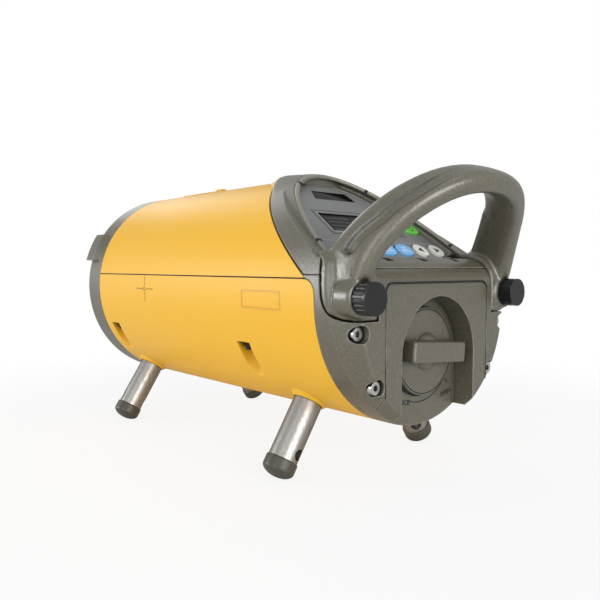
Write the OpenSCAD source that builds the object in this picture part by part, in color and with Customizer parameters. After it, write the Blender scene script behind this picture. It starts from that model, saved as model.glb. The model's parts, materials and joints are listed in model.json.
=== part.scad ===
// Pipe laser on four stub legs, with a sloped control panel, a carrying handle
// and a battery drawer at the rear.
// +X is the beam, +Y is the left side and +Z is up. The origin is at the middle of the base, on the ground.
// Places inside the modules are measured from the body's axis at its rear ring, and place() moves them.

/* [Body] */
// Outer diameter of the tubular body
body_d = 122; // [121:0.5:124]
// Length of the yellow casing
casing_len = 207.3; // [206:0.1:212]
// Wall of the yellow casing
casing_wall = 4; // [3.5:0.1:4.5]
// Height of the parting line of the two casing halves above the axis
split_z = 8.2; // [7.8:0.1:8.6]
// Thickness of the gasket in the parting line
gasket_t = 0.6; // [0.4:0.1:1]
// Slope of the control panel from horizontal
slope_angle = 37.5; // [37:0.5:38]
// Where the slope meets the parting line
slope_x = 6.3; // [6:0.1:7]
// Clearance between fixed neighbours
seam = 0.3; // [0.2:0.05:0.4]

/* [Rear end] */
// Length of the olive rear end behind the casing
rear_len = 19.2; // [18.8:0.1:20]
// How far the tapered rear end sits below the axis
rear_drop = 6.3; // [5.8:0.1:6.8]
// Radius of the flat rear face
rear_face_r = 52.4; // [52:0.1:53.4]
// Taper of the rear end from the axis
rear_taper = 38; // [37:0.5:40]
// Radius of the rounded top edge of the rear end
rear_top_r = 15; // [13:0.5:16]
// Height of the shelf behind the panel
shelf_z = 17.3; // [16.8:0.1:17.8]
// Height of the seam below the shelf
rear_seam_z = 12.4; // [12:0.1:13]
// Height of that seam on the sides
side_seam_z = 9.8; // [9.4:0.1:10.2]

/* [Control panel] */
// Height of the rim's lip over the slope
rim_lift = 10.2; // [9.8:0.1:10.8]
// Radius of the hood's crown and of the lip round the panel
hood_r = 53; // [52.6:0.1:53.4]
// Fall of the hood's crown towards the rear
hood_tilt = 4; // [3.5:0.1:4.5]
// Height of that radius's middle over the axis
hood_z = 11.3; // [11:0.1:11.6]
// Slope of the hood's outer edge from horizontal
hood_edge_angle = 33.4; // [33:0.2:34]
// Angle of the casing's flare towards the crown
flare_angle = 20; // [18:0.5:22]
// Height of the panel face over the slope
panel_lift = 6; // [5.8:0.1:6.6]
// Thickness of the panel plate
panel_t = 2; // [1.6:0.1:2.2]
// Width of the lip around the panel
lip_w = 2.4; // [2.2:0.1:2.8]
// Thickness of the gasket between the casing and the hood
hood_seal_t = 0.8; // [0.5:0.1:1]
// Width of the ledge that carries the panel plate
ledge_w = 1.5; // [1.2:0.1:1.8]
// Distance of the key row up the slope
key_row = 13.4; // [13:0.1:14]
// Pitch of the key row
key_pitch = 13.2; // [12.8:0.1:13.4]
// Diameter of the round keys
key_d = 9.6; // [9:0.1:10]
// Length of the oval keys
key_oval_len = 11.4; // [11:0.1:11.6]
// Width of the oval keys
key_oval_w = 8.8; // [8.4:0.1:9.2]
// Travel of a key
key_travel = 0.8; // [0.6:0.1:1]
// Height of a key over the panel
key_proud = 1; // [0.9:0.1:1.4]
// Display window across the panel
lcd_w = 50; // [48:1:52]
// Display window along the slope
lcd_h = 16.7; // [16:0.1:17.5]
// Lower edge of the display window up the slope
lcd_row = 27.8; // [27.4:0.1:28.2]

/* [Battery drawer] */
// Width of the battery cover
cover_w = 75; // [74:0.5:76]
// Top edge of the battery cover
cover_top = 6.2; // [5.8:0.1:6.6]
// Corner radius of the battery cover
cover_corner = 4; // [3:0.5:5]
// Thickness of the cover behind the knob recess
cover_floor = 3.7; // [3.5:0.1:4]
// Depth of the arched knob recess
arch_depth = 11.5; // [11:0.1:12]
// Radius of the arched knob recess
arch_r = 27; // [26:0.5:28]
// Diameter of the lock knob's disc
lock_d = 41; // [40:0.5:42]
// Height of the disc over the recess floor
lock_rise = 3.3; // [2.8:0.1:3.6]
// Length of the grip bar
bar_len = 38; // [36:0.5:39]
// Height of the grip bar
bar_h = 9.5; // [9:0.1:10]
// Turn of the grip bar in its locked place
bar_turn = 4; // [0:0.5:6]
// Diameter of a battery cell
cell_d = 34.2; // [33.8:0.1:34.4]
// Length of a battery cell
cell_len = 61.5; // [60:0.1:61.8]
// Wall of the battery tray
tray_wall = 1.8; // [1.5:0.1:2]
// Running clearance of the tray in its bay
tray_gap = 0.3; // [0.25:0.05:0.4]
// Wall of the battery bay
bay_wall = 1.6; // [1.4:0.1:1.8]

/* [Handle] */
// Half width of the handle loop at its feet
handle_half_w = 59.5; // [59:0.1:60]
// Rise of the handle loop from its sunk ends
handle_rise = 93; // [90:0.5:96]
// Depth of those ends below the axis
handle_sink = 40; // [39:0.5:41]
// Rearward tilt of the handle loop
handle_tilt = 18.2; // [17:0.1:19]
// Forward bow of the handle's sides
handle_bow = 14; // [13:0.5:15]
// Inward bend of the handle at its feet
handle_pinch = 2.5; // [2:0.1:3]
// Squareness of the handle loop
handle_square = 2.28; // [2.2:0.02:2.4]
// Thickness of the grip
grip_t = 10.8; // [10.4:0.1:11.2]
// Depth of the grip from front to back at the top
grip_depth = 18.6; // [18:0.1:19.2]
// Depth of the grip at its feet
foot_depth = 21; // [20:0.1:22]
// Distance of the ears' inner faces from the middle
ear_y = 42.3; // [42:0.1:42.6]
// Bottom of the ears
ear_z = -9; // [-9.4:0.1:-8.6]
// Diameter of the thumb screws' heads
knob_d = 13.6; // [13:0.1:14.2]
// Length of the thumb screws' heads
knob_len = 6.8; // [6:0.1:7.4]
// Distance of the thumb screws from the middle
knob_y = 53; // [52.8:0.1:53.2]
// Height of the thumb screws over the axis
knob_z = 0.5; // [0:0.1:1]
// Diameter of the thumb screws' shanks
shank_d = 6; // [5:0.1:6.4]

/* [Legs] */
// Diameter of the legs
leg_d = 14.5; // [14:0.1:15]
// Angle of the legs from vertical
leg_angle = 32.8; // [32.5:0.1:33.2]
// Place of the rear legs
leg_rear_x = 33.2; // [32:0.1:34]
// Place of the front legs
leg_front_x = 188.4; // [188:0.1:190]
// Distance of the boss faces from the axis
boss_reach = 62.4; // [62:0.1:63.5]
// Diameter of the threaded stud on a leg
stud_d = 10; // [9:0.1:11]
// Reach of the feet from the axis
foot_reach = 100.8; // [99:0.1:102]
// Diameter of the rubber feet
foot_d = 15.8; // [15.4:0.1:16.4]
// Height of the rubber feet
foot_h = 8.9; // [8.4:0.1:9.6]
// Diameter of the stud that carries a foot
foot_stud_d = 9; // [8:0.1:9.4]
// Height of the foot's dome
foot_dome = 4.2; // [3:0.1:6]
// Depth of the flat where a foot stands
foot_flat = 0.4; // [0.3:0.05:0.5]
// Diameter of the tommy-bar hole in a leg
tommy_d = 5.5; // [5:0.1:5.8]
// Turn of the front left leg's hole from the body's length
turn_front_left = 70; // [0:5:90]
// Turn of the front right leg's hole
turn_front_right = 25; // [0:5:90]
// Turn of the rear left leg's hole
turn_rear_left = 18; // [0:1:90]
// Turn of the rear right leg's hole
turn_rear_right = 40; // [0:5:90]

/* [Front end] */
// Length of the front cap
cap_len = 18.9; // [18:0.1:20]
// Height of the window's middle over the axis
window_z = 6; // [5:0.1:7]
// Diameter of the window glass
window_d = 80; // [79:0.5:81]
// Clear diameter of the window
window_clear = 72; // [71:0.5:73]
// Thickness of the window glass
window_t = 3.8; // [3.4:0.1:4]
// How far the side lugs stand proud of the cap
lug_proud = 2.6; // [2:0.1:3]

/* [Laser carriage] */
// Place of the pivot, at the cross marks
pivot_x = 146; // [145.6:0.1:147]
// Radius of the laser tube
tube_r = 16; // [15.5:0.1:16.4]
// Reach of the laser tube ahead of the pivot
tube_nose = 50; // [48:0.5:51]
// Reach of the laser tube behind the pivot
tube_tail = 8; // [7:0.1:8.4]
// Inner radius of the gimbal ring
yoke_in = 27; // [26.5:0.1:27.4]
// Outer radius of the gimbal ring
yoke_out = 34; // [33.5:0.1:34.4]
// Width of the gimbal ring
yoke_w = 10; // [9:0.1:10.4]
// Diameter of the pivot pins
pin_d = 6; // [5:0.1:6.4]
// Running clearance of the pivots, on the radius
pivot_gap = 0.05; // [0.03:0.01:0.08]
// Distance of the grade screw ahead of the pivot
grade_arm = 38; // [37:0.1:38.5]
// Distance of the grade screw from the middle
grade_y = 19; // [18.8:0.1:19.4]
// Distance of the line screw behind the pivot
line_arm = 40; // [39:0.1:41]
// Height of the line screw over the axis
line_z = 23; // [22:0.1:23.4]
// Diameter of the drive screws
drive_d = 4; // [3.5:0.1:4.2]

/* [Hidden] */
$fn = 96;

yellow = [0.96, 0.75, 0.25];
olive = [0.45, 0.44, 0.38];
panel_grey = [0.36, 0.37, 0.37];
steel = [0.78, 0.78, 0.76];
rubber = [0.28, 0.27, 0.22];
black = [0.1, 0.1, 0.11];
alloy = [0.62, 0.64, 0.66];
brass = [0.75, 0.6, 0.3];
board_green = [0.1, 0.35, 0.2];
white_key = [0.88, 0.88, 0.85];
blue_key = [0.42, 0.68, 0.93];
green_key = [0.35, 0.8, 0.25];

board_t = 1.6;

body_r = body_d / 2;
bore_r = body_r - casing_wall;
fit_r = bore_r - seam;
lower_top = split_z - gasket_t / 2;
upper_bottom = split_z + gasket_t / 2;
rear_x = -rear_len;

// The foot's dome meets the ground beside its tip, because the leg leans
dome_r = foot_d / 2;
dome_lowest = (foot_reach - foot_dome) * cos(leg_angle)
    + norm([dome_r * sin(leg_angle), foot_dome * cos(leg_angle)]);
axis_h = dome_lowest - foot_flat;
leg_end = foot_reach - foot_h;
tommy_reach = leg_end - 4.2;
boss_rim_r = leg_d / 2 + 0.9;
boss_base_r = leg_d / 2 + 6;
foot_stud_len = 5;

function arc(cx, cy, r, a0, a1, n) = [for (i = [0:n])
    let (a = a0 + (a1 - a0) * i / n) [cx + r * cos(a), cy + r * sin(a)]];
function signed_pow(v, p) = sign(v) * pow(abs(v), p);

// Handle: a superellipse loop in a tilted plane, bowed forward along its sides
handle_up = [-sin(handle_tilt), 0, cos(handle_tilt)];
handle_fwd = [cos(handle_tilt), 0, sin(handle_tilt)];
handle_base_x = -23.7;
handle_start = 24;
handle_rings = 32;
handle_sides = 16;
function handle_k(a) = pow(sin(a), 2 / handle_square);
function handle_y(a) = handle_half_w * signed_pow(cos(a), 2 / handle_square)
    - sign(cos(a)) * handle_pinch * pow(max(0, 0.65 - handle_k(a)) / 0.2, 1.5);
function handle_mid(a) = let (k = handle_k(a))
    [handle_base_x, handle_y(a), 0]
    + handle_up * (handle_rise * k - handle_sink)
    + handle_fwd * (handle_bow * 4 * k * (1 - k));
function handle_depth(a) = foot_depth + (grip_depth - foot_depth) * handle_k(a);
function unit(v) = v / norm(v);
function handle_ring(a) = let (
        along = unit(handle_mid(a + 0.5) - handle_mid(a - 0.5)),
        side = unit(cross(along, handle_fwd)),
        fwd = cross(side, along))
    [for (i = [0:handle_sides - 1]) let (t = 360 * i / handle_sides)
        handle_mid(a) + side * (grip_t / 2 * signed_pow(cos(t), 0.7))
        + fwd * (handle_depth(a) / 2 * signed_pow(sin(t), 0.7))];
handle_span = 180 - 2 * handle_start;
handle_points = [for (j = [0:handle_rings])
    each handle_ring(handle_start + handle_span * j / handle_rings)];

front_x = casing_len + seam + cap_len + lug_proud;
back_x = min([for (p = handle_points) p[0]]);
x_mid = (front_x + back_x) / 2;

// Control panel: distances up the slope, across and above it
drain_w = 5;
drain_len = 16;
drain_pitch = 25;
drain_depth = 1.6;
key_flange_t = 0.8;
key_flange_gap = 0.2;
key_gap = 0.35;
switch_h = 1;
plate_bottom = panel_lift - panel_t;
key_bottom = plate_bottom - key_flange_gap - key_flange_t;
key_board_lift = key_bottom - key_travel - 0.1 - switch_h - board_t;
crown_z = hood_z + hood_r;
lip_r = hood_r - lip_w;
recess_end = 59.4;
seal_foot = side_seam_z + seam;
slope_tan = tan(slope_angle);
function slope_at(z) = slope_x + (z - split_z) / slope_tan;
function lifted_at(z, lift) = slope_at(z) - lift / sin(slope_angle);
function lifted_z(x, lift) = split_z + (x - slope_x) * slope_tan + lift / cos(slope_angle);
foot_x = lifted_at(shelf_z, panel_lift);
hood_edge_x = 0.5;
function hood_edge_at(z) = hood_edge_x + (z - shelf_z) / tan(hood_edge_angle);
ledge_x = foot_x + 1.8;
power_row = 33;
power_y = -36.6;
power_len = 11.6;
power_w = 8.4;
sensor_row = [57.8, 65.6];
sensor_half = [15, 12.4];

// Battery drawer
cover_inner = rear_x + arch_depth + cover_floor;
cell_z = -25.5;
cell_y = cell_d / 2 + 0.3;
cell_x = cover_inner + 8;
tray_half = cell_y + cell_d / 2 + 0.2 + tray_wall;
tray_bottom = cell_z - cell_d / 2 - 0.3 - tray_wall;
tray_corner = 16.1;
tray_side_top = cell_z + 3;
tray_start = cover_inner + 5.4;
contact_t = 0.6;
spring_len = 2.3;
tray_end = cell_x + 2 * cell_len + spring_len + contact_t + tray_wall;
bay_half = tray_half + tray_gap + bay_wall;
bay_bottom = tray_bottom - tray_gap - bay_wall;
bay_ceiling = cell_z + cell_d / 2 + 0.7;
bay_top = bay_ceiling + bay_wall;
bay_end = tray_end + tray_gap + bay_wall;
bay_corner = tray_corner + tray_gap + bay_wall;
lock_z = -26.2;
arch_z = -27.1;
lock_shaft_d = 7;
cam_t = 3;
standoff_h = 5;
cam_ceiling = lock_z + 22.2;
chin_half = 33.5;
chin_top = -40;

// Handle ears and thumb screws
ear_front = -1.6;
ear_lean = 2;
ear_corner = 12;
ear_gap = 0.4;
ear_rise = 3;
ear_low_x = ear_front - ear_lean;
ear_top_r = ear_front - ear_rise - rear_x - 0.4;
boss_x = -20.3;
knob_seat = 0.1;
knob_back = boss_x - knob_seat;

// Fasteners
casing_screw_x = [55.5, 194.5];
casing_screw_y = 50;
slot_d = 10;
slot_ceiling = -23.4;
flare_r = hood_r * sin(slope_angle - hood_tilt) / sin(slope_angle + flare_angle);
rail_x = 152;
rail_len = 47;
rail_w = 3;
rail_h = 1.5;
stop_len = 7;
stop_w = 3;
stop_h = 2.4;
rear_screw = [[51.5, -14.3, -13.5], [42, -37.4, -15]];
cap_screw_r = 53.5;
spigot_len = 5;
cap_column_len = 13;
cap_column_r = 4.5;
casing_column_r = 7.6;
casing_column_base = -48;
nut_column_r = 5;
nut_column_h = 17;
cap_column_x = casing_len - spigot_len - cap_column_len;
leg_x = [leg_front_x, leg_rear_x];
boss_inner = 53.5;

// Laser carriage
frame_w = 10;
frame_in = 46;
boss_gap = 2.3;
grade_x = pivot_x + grade_arm;
grade_plate_z = -31;
grade_plate_t = 3;
grade_rest = -tube_r - 0.6;
line_x = pivot_x - line_arm;
post_y = 17;
arm_z = yoke_in + 1;
arm_t = 3;
nut_pin_d = 4;
fork_w = nut_pin_d + 0.8;

module place() {
    translate([-x_mid, 0, axis_h]) children();
}

// A profile drawn in Y and Z, run along X
module along_x(x, len) {
    translate([x, 0, 0]) rotate([90, 0, 90]) linear_extrude(len) children();
}

// A profile drawn in X and Z, run across Y between two places
module across(y0, y1) {
    translate([0, y1, 0]) rotate([90, 0, 0]) linear_extrude(y1 - y0) children();
}

module rod(x, len, r, y = 0, z = 0) {
    translate([x, y, z]) rotate([0, 90, 0]) cylinder(h = len, r = r);
}

// X runs up the slope, Z stands on it
module on_slope() {
    translate([slope_x, 0, split_z]) rotate([0, -slope_angle, 0]) children();
}

// Z runs from the body's axis out along a leg
module along_leg(x, side) {
    translate([x, 0, 0]) rotate([180 + side * leg_angle, 0, 0]) children();
}

module mirrored() {
    children();
    mirror([0, 1, 0]) children();
}

module rounded(w, h, r) {
    square([w - 2 * r, h], center = true);
    square([w, h - 2 * r], center = true);
    for (sx = [-1, 1], sy = [-1, 1]) translate([sx * (w / 2 - r), sy * (h / 2 - r)]) circle(r);
}

module oval(w, h) {
    square([w - h, h], center = true);
    for (s = [-1, 1]) translate([s * (w - h) / 2, 0]) circle(h / 2);
}

// Casing
module casing_tube(x, len) {
    difference() {
        rod(x, len, body_r);
        rod(x - 1, len + 2, bore_r);
    }
}

module leg_boss(x, side) {
    along_leg(x, side) {
        translate([0, 0, boss_inner]) cylinder(h = boss_reach - boss_inner, r = boss_rim_r);
        translate([0, 0, bore_r]) cylinder(h = boss_reach - bore_r, r1 = boss_base_r, r2 = boss_rim_r);
    }
}

module casing_lower() {
    color(yellow) place() difference() {
        union() {
            intersection() {
                casing_tube(0, casing_len);
                across(-body_r - 1, body_r + 1) polygon(concat(
                    [[casing_len, -body_r - 1], [casing_len, lower_top]],
                    arc(7, lower_top - 7, 7, 90, 180, 8),
                    [[0, -body_r - 1]]));
            }
            for (x = leg_x, side = [-1, 1]) leg_boss(x, side);
            // Columns over the screw pockets
            intersection() {
                mirrored() for (x = casing_screw_x) translate([x, casing_screw_y, casing_column_base])
                    cylinder(h = lower_top - casing_column_base, r = casing_column_r);
                rod(0, casing_len, bore_r + 1);
            }
            // Columns for the rear and front screws
            intersection() {
                union() {
                    mirrored() for (s = rear_screw) rod(6, 12, 4, s[0], s[1]);
                    mirrored() rod(cap_column_x, cap_column_len, cap_column_r, cap_screw_r * cos(-45),
                        cap_screw_r * sin(-45));
                }
                rod(0, casing_len, bore_r + 1);
            }
        }
        for (x = leg_x, side = [-1, 1]) along_leg(x, side) translate([0, 0, boss_inner + 0.8])
            cylinder(h = 20, r = stud_d / 2 + pivot_gap);
        mirrored() for (x = casing_screw_x) {
            translate([x, casing_screw_y, -60]) cylinder(h = 60 + slot_ceiling, r = slot_d / 2);
            translate([x - slot_d / 2, casing_screw_y, -60]) cube([slot_d, 20, 60 + slot_ceiling]);
            translate([x, casing_screw_y, slot_ceiling - 1]) cylinder(h = 60, r = 2.15);
        }
        mirrored() for (s = rear_screw) rod(-1, 17, 1.3, s[0], s[1]);
        mirrored() rod(cap_column_x + 2, casing_len, 1.3, cap_screw_r * cos(-45), cap_screw_r * sin(-45));
    }
}

// The casing's side of the slope, above the parting line
module before_slope() {
    across(-body_r - 1, body_r + 1) polygon([
        [slope_at(upper_bottom), upper_bottom], [casing_len, upper_bottom],
        [casing_len, crown_z + 2], [slope_at(crown_z + 2), crown_z + 2]]);
}

module casing_upper() {
    color(yellow) place() difference() {
        union() {
            intersection() {
                casing_tube(0, casing_len);
                before_slope();
            }
            // Flare towards the hood's crown
            difference() {
                intersection() {
                    translate([slope_at(crown_z), 0, crown_z]) rotate([0, 90 + flare_angle, 0])
                        translate([flare_r, 0, -15]) cylinder(h = 60, r = flare_r);
                    before_slope();
                }
                rod(0, casing_len, bore_r + 1);
            }
            // Sighting rail on the crown, with its stop at the rear
            intersection() {
                rod(rail_x, rail_len, body_r + rail_h);
                translate([rail_x, -rail_w / 2, body_r - 3]) cube([rail_len, rail_w, 6]);
            }
            intersection() {
                rod(rail_x, stop_len, body_r + stop_h);
                translate([rail_x, -stop_w / 2, body_r - 3]) cube([stop_len, stop_w, 7]);
            }
            intersection() {
                union() {
                    mirrored() for (x = casing_screw_x) translate([x, casing_screw_y, upper_bottom])
                    cylinder(h = nut_column_h, r = nut_column_r);
                    mirrored() rod(cap_column_x, cap_column_len, cap_column_r, cap_screw_r * cos(30),
                        cap_screw_r * sin(30));
                }
                rod(0, casing_len, bore_r + 1);
            }
        }
        mirrored() for (x = casing_screw_x) translate([x, casing_screw_y, 0])
            cylinder(h = upper_bottom + 14, r = 1.7);
        mirrored() rod(cap_column_x + 2, casing_len, 1.3, cap_screw_r * cos(30), cap_screw_r * sin(30));
    }
}

module casing_seal() {
    color(black) place() mirrored() translate([slope_at(upper_bottom) + 1, bore_r + 0.3, lower_top])
        cube([casing_len - slope_at(upper_bottom) - 1, casing_wall - 1, gasket_t]);
}

module casing_screws() {
    color(steel) place() mirrored() for (x = casing_screw_x) {
        translate([x, casing_screw_y, slot_ceiling])
            cylinder(h = upper_bottom + 12 - slot_ceiling, r = 1.6);
        difference() {
            translate([x, casing_screw_y, slot_ceiling - 4]) cylinder(h = 4, r = 3.5);
            translate([x, casing_screw_y, slot_ceiling - 5]) cylinder(h = 3.2, r = 1.7, $fn = 6);
        }
    }
}

// Front end
cap_x = casing_len + seam;
cap_front = cap_x + cap_len;
glass_front = cap_x + 4.9;
window_flat_t = 0.6;
ring_len = 4;

module front_cap() {
    color(olive) place() difference() {
        union() {
            // Rounded front edge
            rotate([0, 90, 0]) rotate_extrude() polygon(concat(
                [[0, cap_x], [body_r, cap_x]], arc(body_r - 3, cap_front - 3, 3, 0, 90, 6),
                    [[0, cap_front]]));
            rod(cap_x - spigot_len, spigot_len + 0.5, fit_r);
            // Side lugs
            intersection() {
                rotate([0, 90, 0]) rotate_extrude()
                    polygon([[0, cap_x + 6], [body_r, cap_x + 6], [body_r + lug_proud, cap_x + 9],
                    [body_r + lug_proud, cap_front + 1], [body_r, cap_front + lug_proud],
                        [0, cap_front + lug_proud]]);
                mirrored() translate([cap_x, 44, 17]) cube([40, 30, 17.5]);
            }
        }
        rod(cap_x - spigot_len - 1, spigot_len + 5.5, window_d / 2 + 1.8, 0, window_z);
        rod(cap_x, 5.5, window_d / 2 + 0.2, 0, window_z);
        rod(cap_x, 30, window_clear / 2, 0, window_z);
        translate([cap_x + 8, 0, window_z]) rotate([0, 90, 0])
            cylinder(h = cap_len, r1 = window_clear / 2, r2 = window_clear / 2 + 0.55 * cap_len);
        mirrored() for (a = [30, -45]) {
            rod(cap_front - 6, 10, 3.8, cap_screw_r * cos(a), cap_screw_r * sin(a));
            rod(cap_x - spigot_len - 1, 40, 1.7, cap_screw_r * cos(a), cap_screw_r * sin(a));
        }
        translate([cap_front - 4, -13.3, -56.3]) cube([10, 26.6, 10.6]);
    }
}

module cap_screws() {
    color(steel) place() mirrored() for (a = [30, -45]) {
        socket_screw(cap_front - 6, cap_front - 6 - cap_column_x - 3, cap_screw_r * cos(a),
            cap_screw_r * sin(a), 1, 1.25);
    }
}

// A screw with its head towards the front or the rear, and a hex socket in it
module socket_screw(x, len, y, z, dir, shank_r) {
    translate([x, y, z]) rotate([0, dir * 90, 0]) difference() {
        union() {
            cylinder(h = 2.6, r = 2.9);
            translate([0, 0, -len]) cylinder(h = len + 1, r = shank_r);
        }
        translate([0, 0, 1]) cylinder(h = 3, r = 1.5, $fn = 6);
    }
}

module front_sensor() {
    color(black) place() translate([cap_front - 4, -13, -56]) cube([3.6, 26, 10]);
}

module window_glass() {
    color([0.7, 0.82, 0.86]) place() rod(glass_front - window_t, window_t, window_d / 2, 0, window_z);
}

module window_seal() {
    color(black) place() difference() {
        rod(glass_front, window_flat_t, window_d / 2, 0, window_z);
        rod(glass_front - 1, 3, window_clear / 2 + 0.4, 0, window_z);
    }
}

module window_ring() {
    color(black) place() difference() {
        rod(glass_front - window_t - ring_len, ring_len, window_d / 2 + 1.75, 0, window_z);
        rod(glass_front - window_t - ring_len - 1, ring_len + 2, window_clear / 2, 0, window_z);
        for (s = [-1, 1]) translate([glass_front - window_t - ring_len - 1, s * 37.5 - 1.5,
            window_z - 3]) cube([2.5, 3, 6]);
    }
}

// Rear end: a cylinder, tapered about a lower axis, with a rounded top edge
module rear_cone() {
    cone_front = rear_face_r + rear_len * tan(rear_taper);
    translate([0, 0, -rear_drop]) rotate([0, 90, 0]) rotate_extrude() polygon([
        [0, rear_x], [rear_face_r - 0.8, rear_x], [rear_face_r, rear_x + 0.6],
        [cone_front + 40 * tan(rear_taper), 40], [cone_front + 40 * tan(rear_taper), 110], [0, 110]]);
}

module rear_form() {
    intersection() {
        rod(rear_x, 120, body_r);
        rear_cone();
        across(-body_r - 1, body_r + 1) polygon(concat(
            [[rear_x - 1, -body_r - 1], [rear_x - 1, shelf_z - rear_top_r]],
            arc(rear_x + rear_top_r, shelf_z - rear_top_r, rear_top_r, 180, 90, 8),
            [[hood_edge_x, shelf_z], [hood_edge_at(crown_z + 2), crown_z + 2],
                [110, crown_z + 2], [110, -body_r - 1]]));
    }
}

// Room for the handle's ears in the rear corners
module ear_room(gap) {
    mirrored() across(ear_y - gap, body_r + 6) polygon(concat(
        [[rear_x - 6, ear_z - gap]],
        arc(ear_low_x - ear_corner, ear_z + ear_corner, ear_corner + gap, -90, 0, 6),
        [[ear_front + gap, shelf_z], [ear_front + gap, shelf_z + 12], [rear_x - 6, shelf_z + 12]]));
}

module cover_outline(grow) {
    hw = cover_w / 2 + grow;
    r = cover_corner + grow;
    polygon(concat([[-hw, -body_r - 2], [hw, -body_r - 2]],
        arc(hw - r, cover_top + grow - r, r, 0, 90, 6), arc(r - hw, cover_top + grow - r, r, 90, 180,
            6)));
}

module rear_housing() {
    color(olive) place() difference() {
        union() {
            intersection() {
                rear_form();
                across(-body_r - 1, body_r + 1) polygon(concat(
                    [[rear_x - 1, -body_r - 1], [rear_x - 1, rear_seam_z - seam / 2],
                        [-4, rear_seam_z - seam / 2], [-4, side_seam_z - seam / 2],
                        [slope_at(side_seam_z) - 2 * seam, side_seam_z - seam / 2],
                            [slope_at(upper_bottom) - 2 * seam, upper_bottom - seam]],
                    arc(7, lower_top - 7, 7 + seam, 98, 180, 8),
                    [[-seam, -body_r - 1]]));
            }
            // Spigot inside the casing
            difference() {
                rod(-1, 6, fit_r);
                rod(-2, 8, fit_r - 3);
                translate([-3, -body_r, side_seam_z - seam / 2]) cube([12, body_d, body_r]);
            }
            // Threaded posts for the thumb screws
            intersection() {
                mirrored() rod(-1, 9, 5.5, knob_y, knob_z);
                rod(-2, 12, fit_r);
            }
        }
        // Opening for the cover and the drawer
        along_x(rear_x - 1, rear_len - 2.5) cover_outline(seam);
        along_x(rear_x - 1, rear_len + 12) drawer_outline(tray_gap);
        translate([rear_x - 1, -15, tray_side_top])
            cube([rear_len + 12, 30, cam_ceiling - tray_side_top]);
        along_x(-13 - seam, 30)
            polygon([[-chin_half - seam, chin_top + seam], [chin_half + seam, chin_top + seam],
            [chin_half + seam, -body_r - 2], [-chin_half - seam, -body_r - 2]]);
        ear_room(ear_gap);
        mirrored() {
            for (s = rear_screw) {
                rod(rear_x - 2, s[2] - rear_x + 2, 3.8, s[0], s[1]);
                rod(rear_x, 40, 1.7, s[0], s[1]);
            }
            rod(-10, 17, shank_d / 2 + pivot_gap, knob_y, knob_z);
        }
    }
}

module rear_screws() {
    color(steel) place() mirrored() for (s = rear_screw)
        socket_screw(s[2], 14 + 15, s[0], s[1], -1, 1.25);
}

// A cylinder about the hood's own axis, up to a place along it
module hood_rod(x, r) {
    translate([slope_at(crown_z), 0, hood_z]) rotate([0, 90 - hood_tilt, 0])
        translate([0, 0, -slope_at(crown_z) - 12]) cylinder(h = x + 12, r = r);
}

// Crown and lip of the hood, with the recess of the panel inside
module hood_form() {
    intersection() {
        hood_rod(110, hood_r);
        across(-body_r, body_r) polygon([
            [lifted_at(shelf_z - 5, rim_lift), shelf_z - 5],
                [lifted_at(crown_z + 2, rim_lift), crown_z + 2],
            [110, crown_z + 2], [110, shelf_z - 5]]);
    }
}

// The recess's outline along the body, closer in by a gap
module recess_form(gap) {
    intersection() {
        hood_rod(110, lip_r - gap);
        translate([-20, -body_r, -20]) cube([20 + recess_end - gap, body_d, 110]);
    }
}

// Panel housing with its rim, the shelf and the three drains
module panel_housing() {
    color(olive) place() difference() {
        union() {
            intersection() {
                union() {
                    rear_form();
                    hood_form();
                }
                across(-body_r - 1, body_r + 1) polygon([
                    [rear_x - 1, rear_seam_z + seam / 2], [-4, rear_seam_z + seam / 2],
                        [-4, side_seam_z + seam / 2],
                    [lifted_at(side_seam_z, hood_seal_t), side_seam_z + seam / 2],
                    [lifted_at(crown_z + 2, hood_seal_t), crown_z + 2], [rear_x - 1, crown_z + 2]]);
            }
            // Spigot inside the casing
            intersection() {
                rod(0, 100, fit_r);
                across(-body_r, body_r) polygon([
                    [lifted_at(upper_bottom + 2, 2), upper_bottom + 2],
                        [lifted_at(upper_bottom + 2, -4), upper_bottom + 2],
                    [lifted_at(body_r, -4), body_r], [lifted_at(body_r, 2), body_r]]);
            }
        }
        // Recess of the panel plate, level with the shelf at its foot
        intersection() {
            recess_form(0);
            across(-body_r, body_r) polygon([[foot_x, lifted_z(foot_x, plate_bottom)],
                [lifted_at(crown_z + 2, plate_bottom), crown_z + 2],
                    [lifted_at(crown_z + 2, 20), crown_z + 2],
                [lifted_at(shelf_z, 20), shelf_z], [foot_x, shelf_z]]);
        }
        // Room behind the panel
        intersection() {
            recess_form(ledge_w);
            rod(-10, 110, fit_r - 3);
            across(-body_r, body_r) polygon([
                [ledge_x, side_seam_z - 1], [ledge_x, lifted_z(ledge_x, plate_bottom + 1)],
                [lifted_at(body_r, plate_bottom + 1), body_r], [lifted_at(body_r, -10), body_r],
                [lifted_at(side_seam_z - 1, -10), side_seam_z - 1]]);
        }
        ear_room(ear_gap);
        // Drains
        for (i = [-1:1])
            translate([rear_x, i * drain_pitch - drain_w / 2, shelf_z - drain_depth])
                cube([drain_len, drain_w, 2 * drain_depth]);
    }
}

// Gasket between the casing and the hood
module panel_seal() {
    color(black) place() intersection() {
        difference() {
            rod(0, 110, body_r - 0.8);
            rod(-1, 112, bore_r + 0.3);
        }
        across(-body_r, body_r) polygon([
            [lifted_at(seal_foot, 0), seal_foot], [lifted_at(body_r, 0), body_r],
            [lifted_at(body_r, hood_seal_t), body_r], [lifted_at(seal_foot, hood_seal_t), seal_foot]]);
    }
}

// A sheet of the panel between the rim's walls
module panel_slab(lift, t) {
    intersection() {
        on_slope() translate([0, -body_r, lift]) cube([100, body_d, t]);
        recess_form(seam);
        translate([foot_x + seam, -body_r, -20]) cube([100, body_d, 110]);
    }
}

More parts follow.
